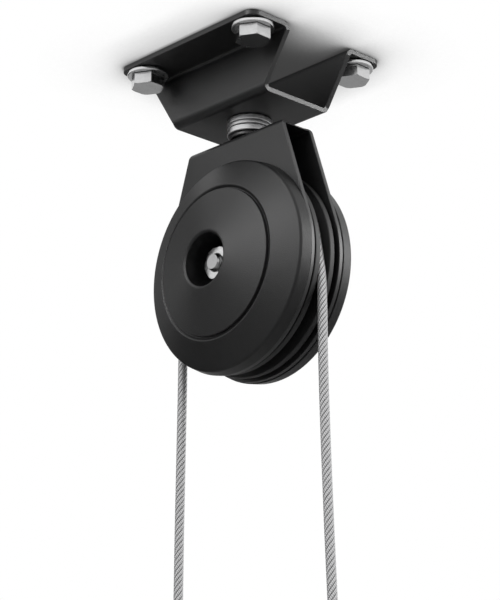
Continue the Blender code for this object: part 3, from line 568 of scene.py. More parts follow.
@dataclass(frozen=True)
class PressedAluminium(Finish):
    """Pressed aluminium of the rope's sleeves, with the press's drag marks."""

    name: str = "pressed_aluminium"
    slot: str = "polished_steel"
    tones: Tones = ((0.70, 0.70, 0.71), (0.44, 0.44, 0.45))
    depth: float = 0.00002

    def pattern(self, recipe: Recipe) -> Pattern:
        """Drag marks along the sleeve on a slow wash."""
        drag = recipe.noise(1200.0, 3.0, (1.0, 1.0, 0.08))
        return Pattern(drag * 0.5 + recipe.noise(140.0, 3.0) * 0.4, 0.30 + drag * 0.18, drag)


@dataclass(frozen=True)
class NaturalNylon(Finish):
    """Off-white nylon of a lock nut's insert."""

    name: str = "natural_nylon"
    slot: str = "black_nylon"
    tones: Tones = ((0.62, 0.60, 0.54), (0.50, 0.48, 0.43))
    depth: float = 0.00001
    metallic: float = 0.0

    def pattern(self, recipe: Recipe) -> Pattern:
        """Cloudy plastic with a fine grain."""
        wash = recipe.noise(500.0)
        return Pattern(wash, 0.40 + wash * 0.1, recipe.noise(2600.0))


def rounded_path(corners: Sequence[Corner], steps: int = 6) -> list[Point2]:
    """Round the corners of a closed outline, or of a path whose two ends have radius 0.

    Args:
        corners: Two coordinates and a radius for each, 0 where a corner stays sharp.
        steps: Faces in each rounding.

    Returns:
        The points.
    """
    spots = [Vector(corner[:2]) for corner in corners]
    path: list[Point2] = []
    for index, (here, (_, _, radius)) in enumerate(zip(spots, corners)):
        if radius == 0:
            path.append(tuple(here))
            continue
        before = (spots[index - 1] - here).normalized()
        after = (spots[(index + 1) % len(spots)] - here).normalized()
        half = before.angle(after) / 2
        centre = here + (before + after).normalized() * (radius / math.sin(half))
        start = here + before * (radius / math.tan(half)) - centre
        sweep = math.pi - 2 * half
        if start.y * before.x - start.x * before.y < 0:
            sweep = -sweep
        turns = [Matrix.Rotation(sweep * step / steps, 2) for step in range(steps + 1)]
        path += [tuple(centre + turn @ start) for turn in turns]
    return path


def mirrored(corners: Sequence[Corner]) -> list[Corner]:
    """The same corners on the other side of the first axis, from the last one back."""
    return [(first, -second, radius) for first, second, radius in reversed(corners)]


def arc(centre: Point2, radius: float, start: float, end: float, steps: int) -> list[Point2]:
    """Points on an arc.

    Args:
        centre: Its centre.
        radius: Its radius.
        start: First angle in degrees.
        end: Last angle in degrees.
        steps: Number of stretches.

    Returns:
        The points.
    """
    angles = [math.radians(start + (end - start) * step / steps) for step in range(steps + 1)]
    return [(centre[0] + radius * math.cos(a), centre[1] + radius * math.sin(a)) for a in angles]


def tangent_angle(across: float, along: float, radius: float) -> float:
    """Angle in degrees at which a line from a point beside a circle's axis touches the circle."""
    return math.degrees(math.atan2(along, across) - math.acos(radius / math.hypot(across, along)))


def smooth_route(points: Sequence[Point3], spacing: float) -> list[Vector]:
    """Run a smooth curve through points and step along it evenly.

    Args:
        points: The route's points.
        spacing: Wanted distance between the points handed back.

    Returns:
        Evenly spaced points from the first point to the last.
    """
    samples = 24
    knots = [Vector(point) for point in points]
    knots = [2 * knots[0] - knots[1]] + knots + [2 * knots[-1] - knots[-2]]
    fine: list[Vector] = []
    for a, b, c, d in zip(knots, knots[1:], knots[2:], knots[3:]):
        for step in range(samples):
            t = step / samples
            fine.append(0.5 * (2 * b + (c - a) * t + (2 * a - 5 * b + 4 * c - d) * t * t
                               + (3 * b - a - 3 * c + d) * t ** 3))
    fine.append(knots[-2])
    reach = [0.0]
    for a, b in zip(fine, fine[1:]):
        reach.append(reach[-1] + (b - a).length)
    count = max(2, round(reach[-1] / spacing))
    route = []
    spot = 0
    for step in range(count + 1):
        wanted = reach[-1] * step / count
        while spot < len(fine) - 2 and reach[spot + 1] < wanted:
            spot += 1
        share = (wanted - reach[spot]) / max(reach[spot + 1] - reach[spot], 1e-9)
        route.append(fine[spot].lerp(fine[spot + 1], min(max(share, 0.0), 1.0)))
    return route


@dataclass
class Maker:
    """What every sub-assembly is made with: Blender's own modelling tools, and each finish made once."""

    made: ClassVar[dict[str, bpy.types.Material]] = {}

    def clear(self) -> None:
        """Leave edit mode and deselect everything."""
        if bpy.context.object is not None and bpy.context.object.mode != "OBJECT":
            bpy.ops.object.mode_set(mode="OBJECT")
        bpy.ops.object.select_all(action="DESELECT")

    def pick(self, piece: Piece) -> None:
        """Select one piece alone and make it the active one."""
        self.clear()
        piece.select_set(True)
        bpy.context.view_layer.objects.active = piece

    @contextmanager
    def editing(self, piece: Piece, action: str = "SELECT") -> Iterator[None]:
        """Open a piece in edit mode, and leave it afterwards.

        Args:
            piece: The piece.
            action: SELECT or DESELECT, for all of it.

        Yields:
            Nothing.
        """
        self.pick(piece)
        bpy.ops.object.mode_set(mode="EDIT")
        bpy.ops.mesh.select_all(action=action)
        yield
        bpy.ops.object.mode_set(mode="OBJECT")

    def newest(self, name: str) -> Piece:
        """Name the object that was just added, and its mesh.

        Args:
            name: The name.

        Returns:
            The object.
        """
        piece = bpy.context.object
        piece.name = name
        piece.data.name = name
        return piece

    def discard(self, piece: Piece) -> None:
        """Remove a tool or a model that was copied."""
        bpy.data.objects.remove(piece, do_unlink=True)

    def extrude(self, step: Sequence[float]) -> None:
        """Extrude what is selected by a step."""
        bpy.ops.mesh.extrude_region_move(TRANSFORM_OT_translate={"value": step})

    def line(self, name: str, points: Sequence[Point3]) -> Piece:
        """Draw a line of edges by extruding one point from place to place.

        Args:
            name: Name of the new piece.
            points: The line's points.

        Returns:
            The piece, whose mesh is only edges.
        """
        self.clear()
        bpy.ops.mesh.primitive_plane_add(size=0.01, location=points[0])
        piece = self.newest(name)
        bpy.ops.object.transform_apply(location=True)
        with self.editing(piece):
            bpy.ops.mesh.select_mode(type="VERT")
            bpy.ops.mesh.merge(type="CENTER")
            for start, end in zip(points, points[1:]):
                self.extrude(tuple(b - a for a, b in zip(start, end)))
        return piece

    def tidy(self, piece: Piece, distance: float = WELD) -> Piece:
        """Merge doubles and turn the faces outwards.

        Args:
            piece: The piece.
            distance: How near points are that become one.

        Returns:
            The same piece.
        """
        with self.editing(piece):
            bpy.ops.mesh.remove_doubles(threshold=distance)
            bpy.ops.mesh.normals_make_consistent(inside=False)
        return piece

    def turned(self, name: str, profile: Sequence[Point2], steps: int) -> Piece:
        """Spin a profile round Z.

        Args:
            name: Name of the new piece.
            profile: Points of radius and height. A profile that doesn't start and end on the
                axis is closed to a ring.
            steps: Faces round the axis.

        Returns:
            The turned piece.
        """
        points = [(radius, 0.0, height) for radius, height in profile]
        if profile[0][0] > 0.0:
            points.append(points[0])
        piece = self.line(name, points)
        with self.editing(piece):
            bpy.ops.mesh.spin(steps=steps, angle=TURN, center=(0, 0, 0), axis=(0, 0, 1))
        return self.tidy(piece)

    def hoop(self, name: str, radii: Point2, heights: Point2, edges: Sequence[float], rounding: int,
             steps: int) -> Piece:
        """Turn a ring that is square in section.

        Args:
            name: Name of the new piece.
            radii: Inner and outer radius.
            heights: Top and bottom.
            edges: Radii of its inner and outer edge on top, and its outer and inner one below.
            rounding: Faces across an edge.
            steps: Faces round the axis.

        Returns:
            The ring.
        """
        (inner, outer), (top, bottom) = radii, heights
        corners = ((inner, top), (outer, top), (outer, bottom), (inner, bottom))
        path = rounded_path([(*corner, edge) for corner, edge in zip(corners, edges)], rounding)
        return self.turned(name, path, steps)

    def lofted(self, name: str, points: Sequence[Point2], levels: Sequence[Point2]) -> Piece:
        """Draw an outline upwards through levels that each have a size of their own.

        Args:
            name: Name of the new piece.
            points: The outline's corners at full size.
            levels: Heights with the share of the full size there, from the lowest up.

        Returns:
            The solid.
        """
        low, share = levels[0]
        ring = [(x * share, y * share, low) for x, y in points]
        piece = self.line(name, ring + ring[:1])
        with self.editing(piece):
            bpy.ops.mesh.remove_doubles(threshold=WELD / 2)
            bpy.ops.mesh.edge_face_add()
            for (before, old), (height, new) in zip(levels, levels[1:]):
                self.extrude((0, 0, height - before))
                if new != old:
                    bpy.ops.transform.resize(value=(new / old, new / old, 1), center_override=(0, 0, height))
        return self.tidy(piece)

    def swept(self, name: str, spine: Sequence[Point2], section: Sequence[Point2]) -> Piece:
        """Run a section along a closed flat line with Blender's curve bevel.

        Args:
            name: Name of the new piece.
            spine: Points of the closed line in X and Y.
            section: Closed outline as distance outwards from the line and height above it.

        Returns:
            The solid, as a mesh.
        """
        shapes = []
        for label, points in ((name + "_section", section), (name, spine)):
            curve = bpy.data.curves.new(label, "CURVE")
            curve.dimensions = "2D"
            spline = curve.splines.new("POLY")
            spline.points.add(len(points) - 1)
            for spot, (x, y) in zip(spline.points, points):
                spot.co = (x, y, 0.0, 1.0)
            spline.use_cyclic_u = True
            shapes.append(bpy.data.objects.new(label, curve))
            bpy.context.scene.collection.objects.link(shapes[-1])
        tool, piece = shapes
        piece.data.fill_mode = "NONE"
        piece.data.bevel_mode = "OBJECT"
        piece.data.bevel_object = tool
        self.pick(piece)
        bpy.ops.object.convert(target="MESH")
        piece = bpy.context.object
        self.discard(tool)
        return self.tidy(piece)

    def bent_sheet(self, name: str, section: Sequence[Point2], reach: float, thickness: float,
                   narrowing: Callable[[float], float], looks: Vector, corner: float = 0.0) -> Piece:
        """Bend a sheet from a section in Y and Z, give it its wall, and trim it along X.

        Args:
            name: Name of the new piece.
            section: Points of Y and Z on the side of the sheet that the wall grows away from.
            reach: Half of its length in X before trimming.
            thickness: The wall.
            narrowing: Share of the reach that is left at a height.
            looks: Direction that the section's side looks in at its first stretch.
            corner: Radius of the four corners at the sheet's first and last edge.

        Returns:
            The sheet.
        """
        near, flat = 0.00001, math.radians(0.4)
        piece = self.line(name, [(-reach, y, z) for y, z in section])
        with self.editing(piece):
            self.extrude((2 * reach, 0, 0))
            bpy.ops.mesh.select_all(action="SELECT")
            bpy.ops.mesh.normals_make_consistent(inside=False)
        first = min(piece.data.polygons, key=lambda face: (face.center - Vector((0, *section[0]))).length)
        if first.normal.dot(looks) < 0:
            with self.editing(piece):
                bpy.ops.mesh.flip_normals()
        if corner:
            with self.editing(piece, "DESELECT"):
                drawn = bmesh.from_edit_mesh(piece.data)
                outermost = max(abs(vertex.co.y) for vertex in drawn.verts)
                for vertex in drawn.verts:
                    vertex.select = abs(vertex.co.y) > outermost - near
                drawn.select_flush_mode()
                bmesh.update_edit_mesh(piece.data)
                bpy.ops.mesh.bevel(offset=corner, segments=10, affect="VERTICES")
        self.modify(piece, "SOLIDIFY", thickness=thickness, offset=-1.0, use_even_offset=True)
        for vertex in piece.data.vertices:
            vertex.co.x *= narrowing(vertex.co.z)
        self.tidy(piece, near)
        with self.editing(piece):
            bpy.ops.mesh.dissolve_limited(angle_limit=flat)
        return piece

    def modify(self, piece: Piece, kind: str, **settings: object) -> None:
        """Add a modifier, set it and apply it.

        Args:
            piece: The piece.
            kind: The modifier's type.
            **settings: Its settings.
        """
        self.pick(piece)
        step = piece.modifiers.new("step", kind)
        for key, setting in settings.items():
            setattr(step, key, setting)
        bpy.ops.object.modifier_apply(modifier=step.name)

    def carve(self, piece: Piece, tool: Piece, operation: str = "DIFFERENCE") -> Piece:
        """Apply a Boolean with a tool, which is then removed.

        Args:
            piece: The piece that stays.
            tool: The tool.
            operation: DIFFERENCE, INTERSECT or UNION.

        Returns:
            The piece that stays.
        """
        self.modify(piece, "BOOLEAN", object=tool, operation=operation, solver="EXACT")
        self.discard(tool)
        return piece

    def drill(self, piece: Piece, radius: float, low: float, high: float, sides: int = 64,
              place: Point3 = (0.0, 0.0, 0.0), facing: Facing = Facing.UP) -> None:
        """Cut a round hole.

        Args:
            piece: The piece.
            radius: The hole's radius.
            low: Where the drill starts along the hole.
            high: Where it ends.
            sides: Faces round the hole.
            place: Point on the hole's axis that it is measured from.
            facing: Where the hole's top looks.
        """
        self.clear()
        bpy.ops.mesh.primitive_cylinder_add(vertices=sides, radius=radius, depth=high - low,
                                            location=(0, 0, (low + high) / 2))
        tool = self.newest("drill")
        bpy.ops.object.transform_apply(location=True)
        self.set_down(tool, place, facing)
        self.carve(piece, tool)

    def soften(self, piece: Piece, width: float, segments: int = 2, angle: float = 30.0) -> Piece:
        """Round a piece's sharp edges.

        Args:
            piece: The piece.
            width: Width of the rounding.
            segments: Faces across it.
            angle: Edges sharper than this many degrees are rounded.

        Returns:
            The same piece.
        """
        self.modify(piece, "BEVEL", width=width, segments=segments, limit_method="ANGLE",
                    angle_limit=math.radians(angle), use_clamp_overlap=True, harden_normals=False)
        return piece

    def set_down(self, piece: Piece, place: Point3, facing: Facing = Facing.UP, twist: float = 0.0) -> None:
        """Turn a piece to its facing, move it to its place, and apply both to its mesh.

        Args:
            piece: The piece.
            place: Where its own origin goes.
            facing: Where its top looks.
            twist: Turn about its own axis first, in degrees.
        """
        self.pick(piece)
        turn = Matrix.Rotation(math.radians(twist), 4, "Z")
        for axis, angle in zip("XYZ", facing.value):
            turn = Matrix.Rotation(angle, 4, axis) @ turn
        piece.matrix_world = Matrix.Translation(place) @ turn
        bpy.ops.object.transform_apply(location=True, rotation=True, scale=True)

    def mark_cut(self, piece: Piece, is_cut: Callable[[Vector, Vector], bool]) -> None:
        """Store 1 on the faces where a sheet was cut, where its coat is thinner and a painted edge highlight
        goes, and 0 elsewhere.

        Args:
            piece: The sheet.
            is_cut: Whether a face with a centre and a normal is one of them.
        """
        cut = piece.data.attributes.new("cut", "FLOAT", "FACE")
        for face in piece.data.polygons:
            cut.data[face.index].value = float(is_cut(face.center, face.normal))

    def copy(self, piece: Piece, name: str) -> Piece:
        """Copy a piece with a mesh of its own."""
        self.pick(piece)
        bpy.ops.object.duplicate(linked=False)
        return self.newest(name)

    def coat(self, piece: Piece, finish: Finish) -> None:
        """Give a piece one finish, which is made when it is first used.

        Args:
            piece: A new piece or a CAD node.
            finish: The finish.
        """
        if finish.name not in self.made:
            self.made[finish.name] = finish.make()
        piece.data.materials.clear()
        piece.data.materials.append(self.made[finish.name])

    def finish(self, piece: Piece, finish: Finish, body: Body, node: str = "", smooth: float = 35.0,
               weighted: bool = True) -> Piece:
        """Shade, coat and attach a piece that is in place.

        Args:
            piece: The piece.
            finish: Its finish.
            body: The body it rides on.
            node: CAD node that it stands for.
            smooth: Edges shallower than this many degrees are shaded smooth.
            weighted: Whether large faces keep their own shading at rounded edges.

        Returns:
            The same piece.
        """
        self.pick(piece)
        bpy.ops.object.shade_smooth_by_angle(angle=math.radians(smooth))
        if weighted:
            self.modify(piece, "WEIGHTED_NORMAL", keep_sharp=True, weight=50)
        self.clear()
        self.coat(piece, finish)
        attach(piece, body.value)
        if node:
            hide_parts(node)
        log.info("%s on %s, %d faces", piece.name, body.value, len(piece.data.polygons))
        return piece

    def install(self, piece: Piece, finish: Finish, body: Body, node: str, place: Point3,
                facing: Facing = Facing.UP, twist: float = 0.0) -> Piece:
        """Set a piece down and finish it; the arguments are those of set_down and finish."""
        self.set_down(piece, place, facing, twist)
        return self.finish(piece, finish, body, node)

    def dress_node(self, node: str, finish: Finish) -> None:
        """Give a CAD node that keeps its shape a finish."""
        self.coat(frame["nodes"][node], finish)
        log.info("%s keeps its shape", node)


@dataclass
class Fasteners(Maker):
    """Maker of the pulley's 10 mm bolts, nuts and washers, each standing on Z = 0."""

    flats: float = 0.017
    face_share: float = 0.53
    chamfer: float = math.radians(30)
    head_height: float = 0.0064
    shank: float = 0.005
    nut_bore: float = 0.0051
    countersink: float = 0.0002
    pitch: float = 0.0015
    thread_depth: float = 0.00075
    levels_per_turn: int = 4
    tip: float = 0.0009
    plain_neck: float = 0.0016
    edge: float = 0.00016
    inner_edge: float = 0.00015
    excess: float = 0.002
    collar_wall: float = 0.0012
    collar_edges: Point2 = (0.0005, 0.0010)
    core_share: float = 0.7
    form_sides: int = 90
    bore_sides: int = 60
    shank_sides: int = 36
    weld: float = 0.00003
    edge_angle: float = 24.0

    def hexagon(self, name: str, height: float, low: bool, high: bool) -> Piece:
        """Make a hexagon with its corners chamfered off.

        Args:
            name: Name of the piece.
            height: Its height.
            low: Whether its lower side is chamfered.
            high: Whether its upper side is chamfered.

        Returns:
            The solid.
        """
        corner = self.flats / math.sqrt(3)
        points = [(corner * math.cos(TURN * k / 6), corner * math.sin(TURN * k / 6)) for k in range(6)]
        half = (height + 2 * self.excess) / 2
        block = self.lofted(name, points, [(-half, 1.0), (half, 1.0)])
        self.set_down(block, (0.0, 0.0, height / 2))
        wide = corner + self.excess
        face = self.flats * self.face_share
        drop = (wide - face) * math.tan(self.chamfer)
        profile = [(0.0, height)]
        profile += [(face, height), (wide, height - drop)] if high else [(wide, height)]
        profile += [(wide, drop), (face, 0.0)] if low else [(wide, 0.0)]
        form = self.turned("form", profile + [(0.0, 0.0)], self.form_sides)
        self.tidy(self.carve(block, form, "INTERSECT"), self.weld)
        return self.soften(block, self.edge, 2, self.edge_angle)

    def thread(self, piece: Piece, low: float, high: float) -> None:
        """Press a right-handed thread into a turned shank.

        Args:
            piece: The shank, with rings of points along it.
            low: Lowest threaded height.
            high: Highest threaded height.
        """
        core = self.shank * self.core_share
        for vertex in piece.data.vertices:
            radius = math.hypot(vertex.co.x, vertex.co.y)
            if radius < core or not low < vertex.co.z < high:
                continue
            phase = (vertex.co.z / self.pitch - math.atan2(vertex.co.y, vertex.co.x) / TURN) % 1.0
            fade = min(1.0, (high - vertex.co.z) / self.pitch)
            wanted = min(radius, self.shank - self.thread_depth * abs(2 * phase - 1) * fade)
            vertex.co.x *= wanted / radius
            vertex.co.y *= wanted / radius

    def bolt(self, name: str, length: float) -> Piece:
        """Make a hexagon bolt whose bearing face is at 0, with its head above and its shank below.

        Args:
            name: Name of the piece.
            length: Length of its shank.

        Returns:
            The bolt.
        """
        head = self.hexagon(name, self.head_height, False, True)
        step = self.pitch / self.levels_per_turn
        levels = int((length - self.tip - self.plain_neck) / step)
        profile = [(0.0, self.head_height / 2), (self.shank, self.head_height / 2)]
        profile += [(self.shank, -self.plain_neck - step * k) for k in range(levels)]
        profile += [(self.shank, self.tip - length), (self.shank - self.tip, -length), (0.0, -length)]
        shank = self.turned("shank", profile, self.shank_sides)
        self.thread(shank, -length + self.tip / 2, -self.plain_neck)
        return self.carve(head, shank, "UNION")

    def bored(self, piece: Piece, height: float) -> Piece:
        """Cut a nut's bore with its two countersinks.

        Args:
            piece: The nut.
            height: Its height.

        Returns:
            The nut.
        """
        wide = self.nut_bore + self.countersink
        over = self.excess / 2
        profile = [(0.0, height + over), (wide, height + over), (wide, height),
                   (self.nut_bore, height - self.countersink), (self.nut_bore, self.countersink),
                   (wide, 0.0), (wide, -over), (0.0, -over)]
        return self.carve(piece, self.turned("bore", profile, self.bore_sides))

    def nut(self, name: str, height: float) -> Piece:
        """Make a plain nut."""
        return self.bored(self.hexagon(name, height, True, True), height)

    def lock_nut(self, name: str, height: float, collar_height: float, collar_radius: float) -> Piece:
        """Make a nut with a rolled collar on top.

        Args:
            name: Name of the piece.
            height: Whole height.
            collar_height: Height of the collar above the hexagon.
            collar_radius: Outer radius of the collar.

        Returns:
            The nut.
        """
        flats = height - collar_height
        nut = self.hexagon(name, flats, True, True)
        collar = self.hoop("collar", (collar_radius - self.collar_wall, collar_radius),
                           (height, flats / 2), (*self.collar_edges, 0.0, 0.0), 6, self.bore_sides)
        return self.bored(self.carve(nut, collar, "UNION"), flats)

    def hang(self, piece: Piece, node: str, place: Point3, facing: Facing = Facing.UP) -> None:
        """Install a zinc-plated fixing on the yoke, in place of a node."""
        self.install(piece, ZincPlate(), Body.YOKE, node, place, facing)

    def washer(self, name: str, outer: float, thickness: float, edge: float = 0.0003,
               steps: int = 72) -> Piece:
        """Make a flat ring with rounded rims.

        Args:
            name: Name of the piece.
            outer: Outer radius.
            thickness: Height.
            edge: Radius of the outer rims.
            steps: Faces round it.

        Returns:
            The ring.
        """
        edges = (self.inner_edge, edge, edge, self.inner_edge)
        return self.hoop(name, (PLACES.bore, outer), (thickness, 0.0), edges, 4, steps)


@dataclass
class CeilingBracket(Maker):
    """Bent plate with two flanges on the ceiling and a channel whose foot carries the swivel."""

    length: float = 0.109
    width: float = 0.1005
    channel_width: float = 0.050
    foot_length: float = 0.0745
    inner_bend: float = 0.0017
    flange_corner: float = 0.006
    edge: float = 0.00035
    hole: float = 0.0056
    bush_hole: float = 0.0073
    overcut: float = 0.004
    hole_sides: int = 48
    bend_steps: int = 10
    end_slope: float = 0.2

    def narrowing(self, height: float) -> float:
        """Share of the full length that the plate has at a height.

        Args:
            height: The height.

        Returns:
            The share.
        """
        bend_end = -PLACES.plate - self.inner_bend
        if height >= bend_end:
            return 1.0
        share = (bend_end - height) / (bend_end - PLACES.foot_top)
        return 1.0 + (self.foot_length / self.length - 1.0) * min(1.0, share)

    def build(self) -> None:
        """Bend the plate, round its corners and drill it."""
        inside = self.channel_width / 2 - PLACES.plate
        half = self.width / 2
        outer_bend = self.inner_bend + PLACES.plate
        section = rounded_path([(-half, 0.0, 0.0), (-inside, 0.0, outer_bend),
                                (-inside, PLACES.foot_top, self.inner_bend),
                                (inside, PLACES.foot_top, self.inner_bend),
                                (inside, 0.0, outer_bend), (half, 0.0, 0.0)], self.bend_steps)
        plate = self.bent_sheet("ceiling_bracket_plate", section, self.length / 2, PLACES.plate,
                                self.narrowing, Vector((0, 0, 1)), self.flange_corner)
        self.soften(plate, self.edge, 3, 40.0)
        for x, y in sorted(PLACES.bolts):
            self.drill(plate, self.hole, -2 * self.overcut, self.overcut, self.hole_sides, (x, y, 0.0))
        self.drill(plate, self.bush_hole, PLACES.foot_bottom - self.overcut / 2,
                   PLACES.foot_top + self.overcut / 2)
        # Cut faces get the thinner coat and the painted edge highlight.
        self.mark_cut(plate, lambda place, normal: abs(normal.x) > self.end_slope
                      or (abs(normal.y) > 0.5 and abs(place.y) > half - 2 * self.edge))
        self.finish(plate, PowderCoat(), Body.BRACKET, "ceiling_bracket")


@dataclass
class CeilingFixings(Fasteners):
    """Four hexagon bolts with thick washers that hold the flanges to the ceiling."""

    bolt_length: float = 0.040
    bolt_turn: float = -30.0
    washer_radius: float = 0.0117
    washer_thickness: float = 0.0022
    washer_edge: float = 0.0006

    def build(self) -> None:
        """Make one bolt and one washer and set four of each in place."""
        washer = self.washer("thick_washer", self.washer_radius, self.washer_thickness,
                             self.washer_edge, 96)
        bolt = self.bolt("hexagon_bolt", self.bolt_length)
        under = -PLACES.plate - PLACES.gap - self.washer_thickness
        for number, (x, y) in enumerate(PLACES.bolts, 1):
            ring = self.copy(washer, f"ceiling_washer_ring_{number}")
            # The washers take the paler zinc copy: painted light.
            self.install(ring, PaintedLightZinc(), Body.BRACKET, f"ceiling_washer_{number}", (x, y, under))
            screw = self.copy(bolt, f"ceiling_hexagon_bolt_{number}")
            self.install(screw, ZincPlate(), Body.BRACKET, f"ceiling_bolt_{number}",
                         (x, y, under - PLACES.gap), Facing.DOWN, self.bolt_turn)
        self.discard(washer)
        self.discard(bolt)


@dataclass
class SwivelStack(Fasteners):
    """Polished rings under the foot, and the bolt, thrust bearing and lock nut that carry the yoke."""

    ring_radius: float = 0.0126
    ring_heights: tuple[float, float, float] = (0.0031, 0.0021, 0.0034)
    ring_edge: float = 0.0005
    collar_radius: float = 0.0112
    collar_height: float = 0.0021
    bush_wall: float = 0.0017
    small_edge: float = 0.0002
    race_radius: float = 0.012
    race_height: float = 0.0026
    race_spacing: float = 0.0038
    race_edge: float = 0.0003
    ball_radius: float = 0.002
    ball_circle: float = 0.0086
    ball_count: int = 9
    cage_width: float = 0.0024
    cage_height: float = 0.002
    nut_washer_radius: float = 0.010
    head_washer_radius: float = 0.0083
    washer_thickness: float = 0.0018
    nut_height: float = 0.010
    nut_collar: Point2 = (0.0022, 0.0075)
    insert_radii: Point2 = (0.00505, 0.00625)
    insert_height: float = 0.0017
    insert_depth: float = 0.0003
    bolt_length: float = 0.045

    def build_rings(self) -> None:
        """Make the rings between the foot and the yoke, from the top down."""
        top = PLACES.foot_bottom - PLACES.gap
        upper, middle, lower = self.ring_heights
        for node, radius, height, finish, body in (
                ("upper_ring", self.ring_radius, upper, TurnedSteel(), Body.BRACKET),
                ("middle_ring", self.ring_radius, middle, TurnedSteel(), Body.YOKE),
                ("lower_ring", self.ring_radius, lower, TurnedSteel(), Body.YOKE),
                ("yoke_collar", self.collar_radius, self.collar_height, PowderCoat(), Body.YOKE)):
            ring = self.washer(f"{node}_turned", radius, height, self.ring_edge, 112)
            self.install(ring, finish, body, node, (0.0, 0.0, top - height))
            top = top - height - PLACES.gap

    def race(self, name: str, bore: float) -> Piece:
        """Turn a race that lies below the plane of the balls.

        Args:
            name: Name of the piece.
            bore: Radius of its bore.

        Returns:
            The race.
        """
        face = -self.race_spacing / 2
        track = self.ball_radius + PLACES.gap
        spread = math.degrees(math.acos(-face / track))
        groove = arc((self.ball_circle, 0.0), track, 270 - spread, 270 + spread, 10)
        bottom = face - self.race_height
        rims = rounded_path([(self.race_radius, face, self.race_edge),
                             (self.race_radius, bottom, self.race_edge),
                             (bore, bottom, self.small_edge), (bore, face, self.small_edge)], 3)
        return self.turned(name, groove + rims, 80)

    def build_bearing(self) -> float:
        """Make the thrust bearing, whose upper race rests on the balls.

        Returns:
            Height of the bearing's upper face.
        """
        plane = PLACES.foot_top + PLACES.gap + self.race_height + self.race_spacing / 2
        middle = (0.0, 0.0, plane)
        self.install(self.race("thrust_lower_ring", PLACES.bore + PLACES.gap), BearingSteel(),
                     Body.BRACKET, "thrust_lower_race", middle)
        self.install(self.race("thrust_upper_ring", PLACES.bore), BearingSteel(), Body.YOKE,
                     "thrust_upper_race", middle, Facing.DOWN)
        half, rise = self.cage_width / 2, self.cage_height / 2
        cage = self.hoop("thrust_cage_ring", (self.ball_circle - half, self.ball_circle + half),
                         (rise, -rise), [self.small_edge] * 4, 3, 80)
        self.install(cage, OiledBronze(), Body.THRUST_CAGE, "thrust_ball_cage", middle)
        for number in range(self.ball_count):
            angle = TURN * number / self.ball_count
            self.clear()
            bpy.ops.mesh.primitive_uv_sphere_add(segments=24, ring_count=14, radius=self.ball_radius)
            ball = self.newest(f"thrust_ball_{number + 1}")
            x, y = self.ball_circle * math.cos(angle), self.ball_circle * math.sin(angle)
            self.set_down(ball, (x, y, plane))
            self.finish(ball, BearingSteel(), Body.THRUST_CAGE, smooth=60.0)
        return plane + self.race_spacing / 2 + self.race_height

    def build(self) -> None:
        """Make the whole stack."""
        self.build_rings()
        bush = self.hoop("swivel_bush_ring", (PLACES.bore, PLACES.bore + self.bush_wall),
                         (PLACES.plate, 0.0), [self.small_edge] * 4, 3, 64)
        self.install(bush, OiledBronze(), Body.BRACKET, "swivel_bush", (0.0, 0.0, PLACES.foot_bottom))

        top = self.build_bearing() + PLACES.gap
        washer = self.washer("swivel_nut_ring", self.nut_washer_radius, self.washer_thickness)
        self.hang(washer, "swivel_nut_washer", (0.0, 0.0, top))
        top += self.washer_thickness + PLACES.gap
        nut = self.lock_nut("swivel_lock_hexagon", self.nut_height, *self.nut_collar)
        self.hang(nut, "swivel_lock_nut", (0.0, 0.0, top))
        insert = self.hoop("swivel_lock_insert", self.insert_radii, (0.0, -self.insert_height),
                           (0.0003, 0.0, 0.0, 0.0), 4, 64)
        self.install(insert, NaturalNylon(), Body.YOKE, "",
                     (0.0, 0.0, top + self.nut_height - self.insert_depth))

        under = PLACES.yoke_top - PLACES.yoke_plate - PLACES.gap - self.washer_thickness
        washer = self.washer("swivel_head_ring", self.head_washer_radius, self.washer_thickness)
        self.hang(washer, "swivel_head_washer", (0.0, 0.0, under))
        bolt = self.bolt("swivel_hexagon_bolt", self.bolt_length)
        self.hang(bolt, "swivel_bolt", (0.0, 0.0, under - PLACES.gap), Facing.DOWN)


